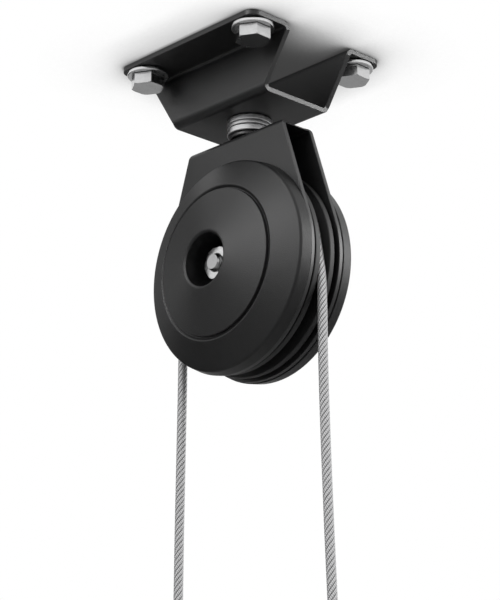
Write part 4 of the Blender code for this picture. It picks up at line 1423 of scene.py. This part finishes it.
@dataclass
class Yoke(Maker):
    """Strap bent to an upside-down U whose cheeks end in round lobes."""

    top_length: float = 0.0737
    inner_bend: float = 0.001
    corner: float = 0.0025
    lobe_radius: float = 0.0590
    edge: float = 0.0003
    lobe_steps: int = 56
    bend_steps: int = 12
    top_overcut: float = 0.002
    axle_drill: float = 0.02
    end_slope: float = 0.2

    @property
    def drop(self) -> float:
        """How far the axle is below the yoke's top."""
        return PLACES.yoke_top - PLACES.axle_height

    @property
    def lean(self) -> float:
        """Angle in degrees at which the straight side runs into the lobe."""
        return tangent_angle(self.top_length / 2, self.drop, self.lobe_radius)

    def half_width(self, height: float) -> float:
        """Half of the strap's length in X at a height.

        Args:
            height: The height.

        Returns:
            Half of the length.
        """
        touch = math.radians(self.lean)
        touch_x, touch_z = self.lobe_radius * math.cos(touch), self.lobe_radius * math.sin(touch)
        above = height - PLACES.axle_height
        if above <= touch_z:
            return math.sqrt(max(0.0, self.lobe_radius ** 2 - above ** 2))
        straight = touch_x + (self.top_length / 2 - touch_x) * (above - touch_z) / (self.drop - touch_z)
        into_corner = above - (self.drop - self.corner)
        if into_corner <= 0:
            return straight
        return straight - self.corner + math.sqrt(max(0.0, self.corner ** 2 - into_corner ** 2))

    def build(self) -> None:
        """Bend the strap and drill its three holes."""
        lobe = arc((0.0, 0.0), self.lobe_radius, -90, self.lean, self.lobe_steps)
        levels = [PLACES.axle_height + z for _, z in lobe]
        outer_bend = self.inner_bend + PLACES.yoke_plate
        face = PLACES.cheek_face
        bend = rounded_path([(-face, levels[-1], 0.0), (-face, PLACES.yoke_top, outer_bend),
                             (face, PLACES.yoke_top, outer_bend), (face, levels[-1], 0.0)], self.bend_steps)
        section = [(-face, z) for z in levels] + bend[1:-1] + [(face, z) for z in reversed(levels)]
        strap = self.bent_sheet("yoke_strap", section, 1.0, PLACES.yoke_plate, self.half_width,
                                Vector((0, -1, 0)))
        self.soften(strap, self.edge, 3, 50.0)
        self.drill(strap, PLACES.bore, PLACES.yoke_top - 3 * self.top_overcut,
                   PLACES.yoke_top + self.top_overcut)
        self.drill(strap, PLACES.bore, -self.axle_drill, self.axle_drill,
                   place=(0.0, 0.0, PLACES.axle_height), facing=Facing.REAR)
        lowest_bend = PLACES.yoke_top - outer_bend - self.edge
        # Cut faces get the thinner coat and the painted edge highlight.
        self.mark_cut(strap, lambda place, normal: abs(normal.x) > self.end_slope
                      or (place.z < lowest_bend and abs(normal.y) < 0.8))
        self.finish(strap, PowderCoat(), Body.YOKE, "yoke")


@dataclass
class DomedCovers(Maker):
    """Two moulded domes with a ring groove, each with the cup that its axle fastener sits in."""

    radius: float = 0.0595
    wall: float = 0.0025
    rim_lift: float = 0.0003
    draft: float = 0.001
    shoulder_radius: float = 0.0022
    shoulder_lift: float = 0.0072
    groove: Point2 = (0.042, 0.0151)
    groove_width: float = 0.0022
    groove_floor: Point2 = (0.85, 0.35)
    groove_lips: Point2 = (0.0004, 0.001)
    groove_corners: Point2 = (0.0001, 0.0002)
    groove_depth: float = 0.0014
    mouth_edge: float = 0.00012
    rim_edges: Point2 = (0.00035, 0.0002)
    hollow_bends: tuple[float, float, float] = (0.001, 0.002, 0.001)
    height: float = 0.0226
    flange_radius: float = 0.0163
    flange: float = 0.0014
    cup_radius: float = 0.0146
    cup_wall: float = 0.001
    lip: float = 0.0022
    lip_step: Point2 = (0.0002, 0.0008)
    lip_edge: float = 0.0002
    taper: float = 0.0003
    cup_bends: tuple[float, ...] = (0.0009, 0.0006, 0.0005, 0.0007)
    dome_sides: int = 144
    cup_sides: int = 112

    def dome_profile(self) -> list[Point2]:
        """Section of a dome from its bore outwards, above the cheek's face.

        Returns:
            Points of radius and height.
        """
        gap = PLACES.gap
        bore = self.cup_radius + self.cup_wall + gap
        boss = bore + self.wall
        mouth = self.flange_radius + gap / 3
        ledge = self.height - self.flange - gap
        groove, lift = self.groove
        slope = (self.height - lift) / (groove - self.flange_radius)
        half = self.groove_width / 2
        deep, shallow = self.groove_floor
        inner_lip, outer_lip = self.groove_lips
        steep_corner, sloping_corner = self.groove_corners
        rim, inner_rim = self.rim_edges
        bends = self.hollow_bends
        hollow = self.radius - self.wall
        return rounded_path([
            (bore, gap, 0.0), (bore, ledge, 0.0), (mouth, ledge, 0.0),
            (mouth, self.height - gap * slope / 3, self.mouth_edge),
            (groove - half, lift + half * slope, inner_lip),
            (groove - half * deep, lift - self.groove_depth, steep_corner),
            (groove - half * shallow, lift - self.groove_depth, sloping_corner),
            (groove + half, lift - half * slope, outer_lip),
            (self.radius - self.draft, self.shoulder_lift, self.shoulder_radius),
            (self.radius, self.rim_lift, rim), (hollow, self.rim_lift, inner_rim),
            (hollow, self.shoulder_lift - self.wall, bends[0]), (groove, lift - self.wall, bends[1]),
            (boss, self.height - self.wall - (boss - self.flange_radius) * slope, bends[2]),
            (boss, gap, 0.0)])

    def cup_profile(self) -> list[Point2]:
        """Section of a cup, above the cheek's face.

        Returns:
            Points of radius and height.
        """
        gap = PLACES.gap
        floor = gap + PLACES.cup_floor
        outside = self.cup_radius + self.cup_wall
        under = self.height - self.flange
        step_out, step_down = self.lip_step
        bends = self.cup_bends
        return rounded_path([
            (PLACES.bore, floor, 0.0), (self.cup_radius - self.taper, floor, bends[0]),
            (self.cup_radius, self.height - self.lip, bends[1]),
            (self.cup_radius + step_out, self.height - step_down, bends[2]),
            (self.flange_radius - self.lip_edge, self.height, bends[3]),
            (self.flange_radius, self.height - self.lip_edge / 2, 0.0), (self.flange_radius, under, 0.0),
            (outside, under, 0.0), (outside, gap, 0.0), (PLACES.bore, gap, 0.0)])

    def build(self) -> None:
        """Turn one dome and one cup and set two of each in place."""
        dome = self.turned("dome", self.dome_profile(), self.dome_sides)
        cup = self.turned("cup", self.cup_profile(), self.cup_sides)
        for side, sign, facing in SIDES:
            for model, name, node in ((dome, "cover_dome", "cover"), (cup, "cover_cup", "cup")):
                self.install(self.copy(model, f"{side}_{name}"), MouldedGrain(), Body.YOKE,
                             f"{side}_{node}", (0.0, sign * PLACES.cheek_face, PLACES.axle_height), facing)
        self.discard(dome)
        self.discard(cup)


@dataclass
class GroovedWheel(Maker):
    """Wheel that carries the rope, and the ball bearing in it."""

    radius: float = 0.0576
    width: float = 0.0142
    rim_flat: float = 0.0035
    web: float = 0.008
    web_draft: float = 0.001
    rim_depth: float = 0.014
    hub_radius: float = 0.021
    bearing_radius: float = 0.015
    bearing_lip: float = 0.0011
    edges: tuple[float, ...] = (0.0002, 0.0005, 0.001, 0.001, 0.0005, 0.0006, 0.0006)
    groove_opening: Point2 = (188, 352)
    sides: int = 160

    def profile(self) -> list[Point2]:
        """Section of the wheel.

        Returns:
            Points of radius and height from its middle.
        """
        gap = PLACES.gap
        half = self.width / 2
        bore = self.bearing_radius + gap
        lip = bore - self.bearing_lip - gap
        seat = PLACES.bearing_width / 2 + gap
        web = self.web / 2
        foot = self.radius - self.rim_depth
        corners = ((lip, half), (self.hub_radius, half), (self.hub_radius + self.web_draft, web),
                   (foot - self.web_draft, web), (foot, half), (self.radius, half),
                   (self.radius, half - self.rim_flat))
        upper = [(*corner, edge) for corner, edge in zip(corners, self.edges)]
        track = arc((0.0, PLACES.rope_circle), PLACES.rope_radius + gap, *self.groove_opening, 20)
        groove = [(radius, height, 0.0) for height, radius in reversed(track)]
        inner = [(lip, -seat, 0.0), (bore, -seat, 0.0), (bore, seat, 0.0), (lip, seat, 0.0)]
        return rounded_path(upper + groove + mirrored(upper) + inner, 4)

    def build(self) -> None:
        """Turn the wheel and dress the bearing's nodes, which keep their shape."""
        wheel = self.turned("grooved_wheel", self.profile(), self.sides)
        self.install(wheel, TurnedNylon(), Body.SHEAVE, "sheave", (0.0, 0.0, PLACES.axle_height),
                     Facing.REAR)
        self.dress_node("bearing_outer_race", BearingSteel())
        self.dress_node("bearing_inner_race", BearingSteel())
        self.dress_node("bearing_ball_cage", OiledBronze())


@dataclass
class Axle(Fasteners):
    """Bolt from the rear through both cups, cheeks, spacers and the bearing to the nut in front."""

    bolt_length: float = 0.045
    nut_height: float = 0.008
    washer_radius: float = 0.010
    washer_thickness: float = 0.002
    spacer_radius: float = 0.008

    def build(self) -> None:
        """Make the bolt, nut, washers and spacers."""
        gap, height = PLACES.gap, PLACES.axle_height
        near = PLACES.bearing_width / 2 + gap
        length = PLACES.cheek_inside - gap - near
        seat = PLACES.cheek_face + gap + PLACES.cup_floor + gap
        for (side, sign, facing), node in zip(SIDES, ("axle_nut_washer", "axle_head_washer")):
            spacer = self.washer(f"{side}_spacer_tube", self.spacer_radius, length)
            self.hang(spacer, f"{side}_axle_spacer", (0.0, sign * near, height), facing)
            washer = self.washer(f"{node}_ring", self.washer_radius, self.washer_thickness)
            self.hang(washer, node, (0.0, sign * seat, height), facing)
        seat += self.washer_thickness + gap
        nut = self.nut("axle_hexagon_nut", self.nut_height)
        self.hang(nut, "axle_nut", (0.0, -seat, height), Facing.FRONT)
        bolt = self.bolt("axle_hexagon_bolt", self.bolt_length)
        # The axle bolt takes the darker zinc copy: painted shade.
        self.install(bolt, PaintedShadeZinc(), Body.YOKE, "axle_bolt", (0.0, seat, height), Facing.REAR)


@dataclass
class WireRope(Maker):
    """Six-strand wire rope over the wheel, its hanging runs, and the sleeved eye at each end."""

    strands: int = 6
    lay: float = 0.0185
    furrow: float = 0.00034
    points_per_strand: int = 8
    ring_spacing: float = 0.0005
    joint: float = 0.00002
    path_spacing: float = 0.004
    sleeve_length: float = 0.022
    sleeve_radius: float = 0.0046
    sleeve_half_width: float = 0.0068
    sleeve_flat: float = 0.0003
    sleeve_edge: float = 0.0002
    sleeve_end: Point2 = (0.0009, 0.90)
    crimps: tuple[float, ...] = (0.0040, 0.0098, 0.0152)
    crimp: tuple[Point2, ...] = ((0.0, 1.0), (0.0006, 0.93), (0.0022, 0.93), (0.0028, 1.0))
    eye_radius: float = 0.0115
    eye_drop: float = 0.030
    eye_neck: float = 0.002
    leg_spread: float = 0.0032
    thimble_wall: float = 0.0012
    thimble_half_width: float = 0.0034
    thimble_tip: float = 0.0011
    thimble_shoulder: float = 0.0006
    thimble_rim: Point2 = (-0.0004, 0.0022)
    thimble_bend: float = 0.0004
    thimble_edges: Point2 = (0.0005, 0.0003)
    channel_floor: float = 0.0001
    right_route: tuple[Point2, ...] = (
        (0.0519, 0.0010), (0.0530, -0.0055), (0.0540, -0.0120), (0.0546, -0.0200), (0.05485, -0.0320),
        (0.0549, -0.0450), (0.0550, -0.0580), (0.0552, -0.0710), (0.0555, -0.0840), (0.0559, -0.0970),
        (0.0563, -0.1100), (0.0568, -0.1230), (0.0573, -0.1360), (0.0578, -0.1490), (0.0584, -0.1620),
        (0.0590, -0.1750), (0.0596, -0.1880))
    left_route: tuple[Point2, ...] = (
        (-0.0519, 0.0010), (-0.0530, -0.0060), (-0.0536, -0.0130), (-0.0540, -0.0220), (-0.0542, -0.0330),
        (-0.0543, -0.0450), (-0.0544, -0.0580), (-0.0546, -0.0710), (-0.0548, -0.0840), (-0.0550, -0.0970),
        (-0.0552, -0.1100), (-0.0554, -0.1230), (-0.0556, -0.1360), (-0.0557, -0.1490), (-0.0558, -0.1620),
        (-0.0559, -0.1750), (-0.0560, -0.1880))

    def section(self, share: float) -> float:
        """Radius of the rope at a share of the way round it, counted from a furrow."""
        within = (share * self.strands) % 1.0
        return PLACES.rope_radius - self.furrow * abs(2.0 * within - 1.0) ** 6

    def strand_tube(self, name: str, points: Sequence[Point3], start: float) -> tuple[Piece, float]:
        """Wind the strands along a route in the plane Y = 0.

        Args:
            name: Name of the piece.
            points: The route's points.
            start: Length of rope before the route, which sets where its strands begin.

        Returns:
            The closed tube and the length of rope at its end.
        """
        route = smooth_route(points, self.ring_spacing)
        count = self.strands * self.points_per_strand
        across = Vector((0.0, 1.0, 0.0))
        mesh = bmesh.new()
        chart = mesh.loops.layers.uv.new("rope")
        rings = []
        reach = [start]
        for index, centre in enumerate(route):
            before, after = route[max(index - 1, 0)], route[min(index + 1, len(route) - 1)]
            side = (after - before).normalized().cross(across)
            if index:
                reach.append(reach[-1] + (centre - route[index - 1]).length)
            twist = TURN * reach[-1] / self.lay
            ring = []
            for k in range(count):
                angle = twist + TURN * k / count
                spoke = across * math.cos(angle) + side * math.sin(angle)
                ring.append(mesh.verts.new(centre + spoke * self.section(k / count)))
            rings.append(ring)
        for index, (low, high) in enumerate(zip(rings, rings[1:])):
            for k in range(count):
                face = mesh.faces.new((low[k], low[(k + 1) % count], high[(k + 1) % count], high[k]))
                spots = ((k, index), (k + 1, index), (k + 1, index + 1), (k, index + 1))
                for loop, (column, row) in zip(face.loops, spots):
                    loop[chart].uv = (column / self.points_per_strand, reach[row] * 1000.0)
        mesh.faces.new(rings[0])
        mesh.faces.new(rings[-1])
        bmesh.ops.recalc_face_normals(mesh, faces=mesh.faces)
        data = bpy.data.meshes.new(name)
        mesh.to_mesh(data)
        mesh.free()
        tube = bpy.data.objects.new(name, data)
        bpy.context.scene.collection.objects.link(tube)
        return tube, reach[-1]

    def run_points(self, side: int) -> list[Point3]:
        """Points of a hanging run from the wheel to its sleeve."""
        route = self.right_route if side > 0 else self.left_route
        return [PLACES.leaving_point(side, PLACES.gap)] + [(x, 0.0, PLACES.axle_height + z) for x, z in route]

    def wrap_points(self) -> list[Point3]:
        """Points of the rope on the wheel, from left to right.

        Returns:
            The points.
        """
        lean = math.degrees(PLACES.leaving_angle)
        bow = arc((0.0, PLACES.axle_height), PLACES.rope_circle, 180 - lean, lean, 60)
        reach = PLACES.gap - self.joint
        points = [(x, 0.0, z) for x, z in bow]
        return [PLACES.leaving_point(-1, reach)] + points + [PLACES.leaving_point(1, reach)]

    @property
    def eye_centre(self) -> float:
        """Height of the eye's middle, from the lower end of its sleeve."""
        return self.eye_radius - self.eye_drop

    @property
    def eye_lean(self) -> float:
        """Angle in degrees at which a leg runs into the round of the eye."""
        return tangent_angle(self.leg_spread, -self.eye_centre - self.eye_neck, self.eye_radius)

    def eye_bow(self, inset: float, steps: int) -> list[Point2]:
        """Points round the eye from its right leg to its left one, a little way inside the rope."""
        lean = self.eye_lean
        return arc((0.0, self.eye_centre), self.eye_radius - inset, lean, -180 - lean, steps)

    def eye_route(self) -> list[Point2]:
        """Points of a rope loop below its sleeve, whose lower end is at the origin."""
        legs = [(self.leg_spread, -self.joint), (self.leg_spread, -self.eye_neck / 2),
                (self.leg_spread, -self.eye_neck)]
        return legs + self.eye_bow(0.0, 48) + [(-x, z) for x, z in reversed(legs)]

    def sleeve(self, name: str, place: Point3) -> Piece:
        """Make a pressed sleeve with three crimps.

        Args:
            name: left or right.
            place: Where its lower end is.

        Returns:
            The sleeve.
        """
        half, radius = self.sleeve_half_width, self.sleeve_radius
        corners = ((-half, -radius), (half, -radius), (half, radius), (-half, radius))
        outline = rounded_path([(x, y, radius - self.sleeve_flat) for x, y in corners], 8)
        (end, share), length = self.sleeve_end, self.sleeve_length
        crimps = [(start + height, size) for start in self.crimps for height, size in self.crimp]
        levels = [(0.0, share), (end, 1.0), *crimps, (length - end, 1.0), (length, share)]
        sleeve = self.lofted(f"{name}_pressed_sleeve", outline, levels)
        self.soften(sleeve, self.sleeve_edge, 2, 25.0)
        return self.install(sleeve, PressedAluminium(), Body.YOKE, f"{name}_sleeve", place)

    def thimble(self, name: str, place: Point3) -> Piece:
        """Make a channelled thimble inside a loop.

        Args:
            name: left or right.
            place: Where the loop begins, above it.

        Returns:
            The thimble.
        """
        inset = PLACES.rope_radius + PLACES.gap
        slope = math.radians(self.eye_lean)
        reach = self.eye_radius - inset - self.thimble_tip * math.cos(slope)
        top = self.eye_centre + reach / math.sin(slope)
        spine = self.eye_bow(inset, 40) + [(-self.thimble_tip, top), (self.thimble_tip, top)]
        half = self.thimble_half_width
        side = half - self.thimble_shoulder
        lip = PLACES.rope_radius + self.channel_floor
        near, far = self.thimble_rim
        bend, (shoulder, edge) = self.thimble_bend, self.thimble_edges
        upper = [(near, half, shoulder), (far, half, edge), (far, lip, edge),
                 (self.channel_floor, lip - bend, 0.0)]
        channel = [(-self.thimble_wall, -side, bend), (-self.thimble_wall, side, bend)]
        thimble = self.swept(f"{name}_channel_thimble", spine,
                             rounded_path(channel + upper + mirrored(upper), 3))
        return self.install(thimble, ZincPlate(), Body.YOKE, f"{name}_thimble", place, Facing.FRONT)

    def finish_rope(self, tube: Piece, node: str) -> Piece:
        """Dress a stranded tube and let it stand for its CAD node."""
        return self.finish(tube, RopeWire(), Body.YOKE, node, smooth=50.0, weighted=False)

    def build(self) -> None:
        """Wind the rope from its left end to its right one, and give each hanging run its sleeve, eye and
        thimble.
        """
        left, right = self.run_points(-1), self.run_points(1)
        left_tube, reach = self.strand_tube("left_rope", left[::-1], 0.0)
        over_tube, reach = self.strand_tube("rope_over_wheel", self.wrap_points(), reach)
        right_tube, _ = self.strand_tube("right_rope", right, reach)
        self.finish_rope(over_tube, "cable_over_sheave")
        for name, tube, points in (("left", left_tube, left), ("right", right_tube, right)):
            self.finish_rope(tube, f"{name}_cable_run")
            x, _, z = points[-1]
            below = z - PLACES.gap - self.sleeve_length
            sleeve = self.sleeve(name, (x, 0.0, below))
            eye_top = below - PLACES.gap
            eye, _ = self.strand_tube(f"{name}_rope_eye",
                                      [(x + dx, 0.0, eye_top + dz) for dx, dz in self.eye_route()], 0.0)
            self.finish_rope(eye, f"{name}_eye")
            thimble = self.thimble(name, (x, 0.0, eye_top))
            path = smooth_route(points, self.path_spacing)
            length = sum((b - a).length for a, b in zip(path, path[1:]))


@dataclass(frozen=True)
class ReflectionShadeCard:
    """Flat grey card that only reflections see, which paints darker reflections onto the pulley: its centre,
    half sides, lean about Y and tone.
    """

    name: str
    place: Point3
    half_size: Point2
    tone: float
    lean: float = 0.0


@dataclass(frozen=True)
class Lamp:
    """Square soft lamp that models the black parts: where it stands, its side and its power in watts."""

    name: str
    place: Point3
    size: float
    watts: float


@dataclass
class Studio:
    """White ceiling over the pulley, pale floor far below, soft lamps and the camera."""

    eye: Point3 = (0.72047, -0.68468, -0.45340)
    look: Point3 = (-0.69106, 0.65687, 0.30158)
    lens: float = 115.24
    sensor: float = 36.0
    reach: float = 60.0
    view_end: float = 200.0
    floor_drop: float = 2.2
    daylight: float = 0.65
    # Reach, depth and tone of the painted shadow on the ceiling.
    shadow_reach: float = 0.055
    shadow_depth: float = 3.0
    painted_shadow_tone: Colour = (0.05, 0.05, 0.05)
    seen_floor: Colour = (0.80, 0.80, 0.80)
    # Painted reflections: dark cards towards -X that only glossy rays see.
    cards: tuple[ReflectionShadeCard, ...] = (
        ReflectionShadeCard("ceiling_reflection_shade_card", (-1.05, 0.11, -0.002), (0.94, 0.25), 0.43),
        ReflectionShadeCard("side_reflection_shade_card", (-1.60, -0.40, -0.61), (0.59, 1.00), 0.08, math.pi / 2))
    lamps: tuple[Lamp, ...] = (Lamp("key_front", (-0.08, -1.42, 0.63), 1.0, 14.0),
                               Lamp("key_right", (1.10, 1.05, 0.36), 0.8, 17.0))
    aim: Point3 = (0.0, 0.0, -0.12)

    def matt(self, name: str, light: float, dark: float) -> Recipe:
        """Start a matt painted surface with a faint wash of tone.

        Args:
            name: Name of the material.
            light: Its lighter grey.
            dark: Its darker grey.

        Returns:
            The recipe.
        """
        recipe = Recipe(name)
        recipe.surface(Base_Color=recipe.blend(recipe.noise(3.0), (light,) * 3, (dark,) * 3), Roughness=0.9,
                       Specular_IOR_Level=0.0)
        return recipe

    def ceiling_paint(self) -> bpy.types.Material:
        """White ceiling with a painted shadow where the pulley meets it, and that is clear from above.

        Returns:
            The material.
        """
        recipe = self.matt("white_ceiling", 0.93, 0.91)
        # Painted shadow: ambient occlusion near the pulley blends a dark glow into the white glow that camera
        # and reflection rays see.
        openness = recipe.node("ShaderNodeAmbientOcclusion", {"samples": 16},
                               {"Distance": self.shadow_reach}, "AO") ** self.shadow_depth
        shaded = recipe.either(openness, recipe.glow(self.painted_shadow_tone), recipe.glow(WHITE))
        seen = recipe.ray("Camera", "Glossy", "Transmission")
        below = recipe.either(seen, Value(recipe, recipe.shader.outputs[0]), shaded)
        from_above = recipe.node("ShaderNodeNewGeometry", {}, {}, "Backfacing")
        clear = recipe.node("ShaderNodeBsdfTransparent", {}, {})
        recipe.show(recipe.either(from_above, below, clear), "Material Output")
        return recipe.material

    def floor_paint(self) -> bpy.types.Material:
        """Grey in reflections, and pale where the camera sees it.

        Returns:
            The material.
        """
        recipe = self.matt("pale_floor", 0.56, 0.53)
        lit = Value(recipe, recipe.shader.outputs[0])
        recipe.show(recipe.either(recipe.ray("Camera"), lit, recipe.glow(self.seen_floor)), "Material Output")
        return recipe.material

    def plane(self, name: str, height: float, material: bpy.types.Material) -> Piece:
        """Lay a large plane into the stage.

        Args:
            name: Name of the plane.
            height: Its height.
            material: Its material.

        Returns:
            The plane, which looks up.
        """
        bpy.ops.object.select_all(action="DESELECT")
        bpy.ops.mesh.primitive_plane_add(size=2 * self.reach, location=(0, 0, height))
        sheet = bpy.context.object
        sheet.name = name
        sheet.data.materials.append(material)
        return sheet

    def build_room(self) -> None:
        """Lay the ceiling, which lets lamps shine through it, and the floor, which throws no light back."""
        ceiling = self.plane("white_ceiling", 0.0, self.ceiling_paint())
        bpy.ops.object.mode_set(mode="EDIT")
        bpy.ops.mesh.flip_normals()
        bpy.ops.object.mode_set(mode="OBJECT")
        ceiling.visible_shadow = False
        floor = self.plane("pale_floor", -self.floor_drop, self.floor_paint())
        floor.visible_diffuse = False
        # Cards that only reflections see: painted dark reflections on the pulley.
        for card in self.cards:
            sheet = self.plane(card.name, 0.0, self.matt(card.name, card.tone, card.tone).material)
            sheet.location = card.place
            sheet.scale = (card.half_size[0] / self.reach, card.half_size[1] / self.reach, 1.0)
            sheet.rotation_euler.y = card.lean
            sheet.visible_camera = False
            sheet.visible_diffuse = False
            sheet.visible_shadow = False

    def stand(self, name: str, data: bpy.types.ID, place: Point3, look: Vector) -> Piece:
        """Set up a lamp or a camera.

        Args:
            name: Its name.
            data: Its light or camera.
            place: Where it stands.
            look: The direction it looks in.

        Returns:
            The lamp or camera.
        """
        stood = bpy.data.objects.new(name, data)
        bpy.context.scene.collection.objects.link(stood)
        stood.location = place
        stood.rotation_euler = look.to_track_quat("-Z", "Y").to_euler()
        return stood

    def build_lamps(self) -> None:
        """Set up the lamps, which shine on the black parts alone."""
        for lamp in self.lamps:
            light = bpy.data.lights.new(lamp.name, "AREA")
            light.shape = "SQUARE"
            light.size = lamp.size
            light.energy = lamp.watts
            light.cycles.use_multiple_importance_sampling = False
            stood = self.stand(lamp.name, light, lamp.place, Vector(self.aim) - Vector(lamp.place))
            stood.visible_camera = False
            stood.light_linking.receiver_collection = self.black_parts()

    def black_parts(self) -> bpy.types.Collection:
        """Collection of the black pieces, which is filled once they are made."""
        return bpy.data.collections.get("black_parts") or bpy.data.collections.new("black_parts")

    def light_black_parts(self) -> None:
        """Put every black piece into the lamps' collection."""
        for piece in bpy.context.scene.objects:
            coats = [slot.material.name for slot in piece.material_slots if slot.material]
            if any(name.startswith("black_") for name in coats):
                self.black_parts().objects.link(piece)

    def build_world(self) -> None:
        """Fill the room with even white light, which camera and reflection rays see as white."""
        world = bpy.data.worlds.new("white_room")
        bpy.context.scene.world = world
        world.use_nodes = True
        sky = Nodes(world.node_tree)
        light = world.node_tree.nodes["Background"]
        sky.feed(light.inputs["Strength"], self.daylight)
        sky.feed(light.inputs["Color"], WHITE)
        seen = sky.node("ShaderNodeBackground", {}, {"Color": WHITE, "Strength": 1.0})
        rays = sky.ray("Camera", "Glossy", "Transmission")
        sky.show(sky.either(rays, Value(sky, light.outputs[0]), seen), "World Output")

    def build_camera(self) -> None:
        """Set the camera where the photograph was taken from."""
        camera = bpy.data.cameras.new("photo_camera")
        camera.lens = self.lens
        camera.sensor_width = self.sensor
        camera.clip_end = self.view_end
        bpy.context.scene.camera = self.stand("photo_camera", camera, self.eye, Vector(self.look))

    def build(self) -> None:
        """Build the room, the lamps and the camera."""
        self.build_camera()
        self.build_room()
        self.build_lamps()
        self.build_world()
        bpy.context.scene.view_settings.view_transform = "Standard"


def main() -> None:
    """Build the whole pulley and its studio."""
    logging.basicConfig(level=logging.INFO, format="%(name)s: %(message)s")
    studio = Studio()
    studio.build()
    for maker in (WireRope(), CeilingBracket(), CeilingFixings(), SwivelStack(), Yoke(), DomedCovers(),
                  GroovedWheel(), Axle()):
        maker.build()
    studio.light_black_parts()


if __name__ == "__main__":
    main()
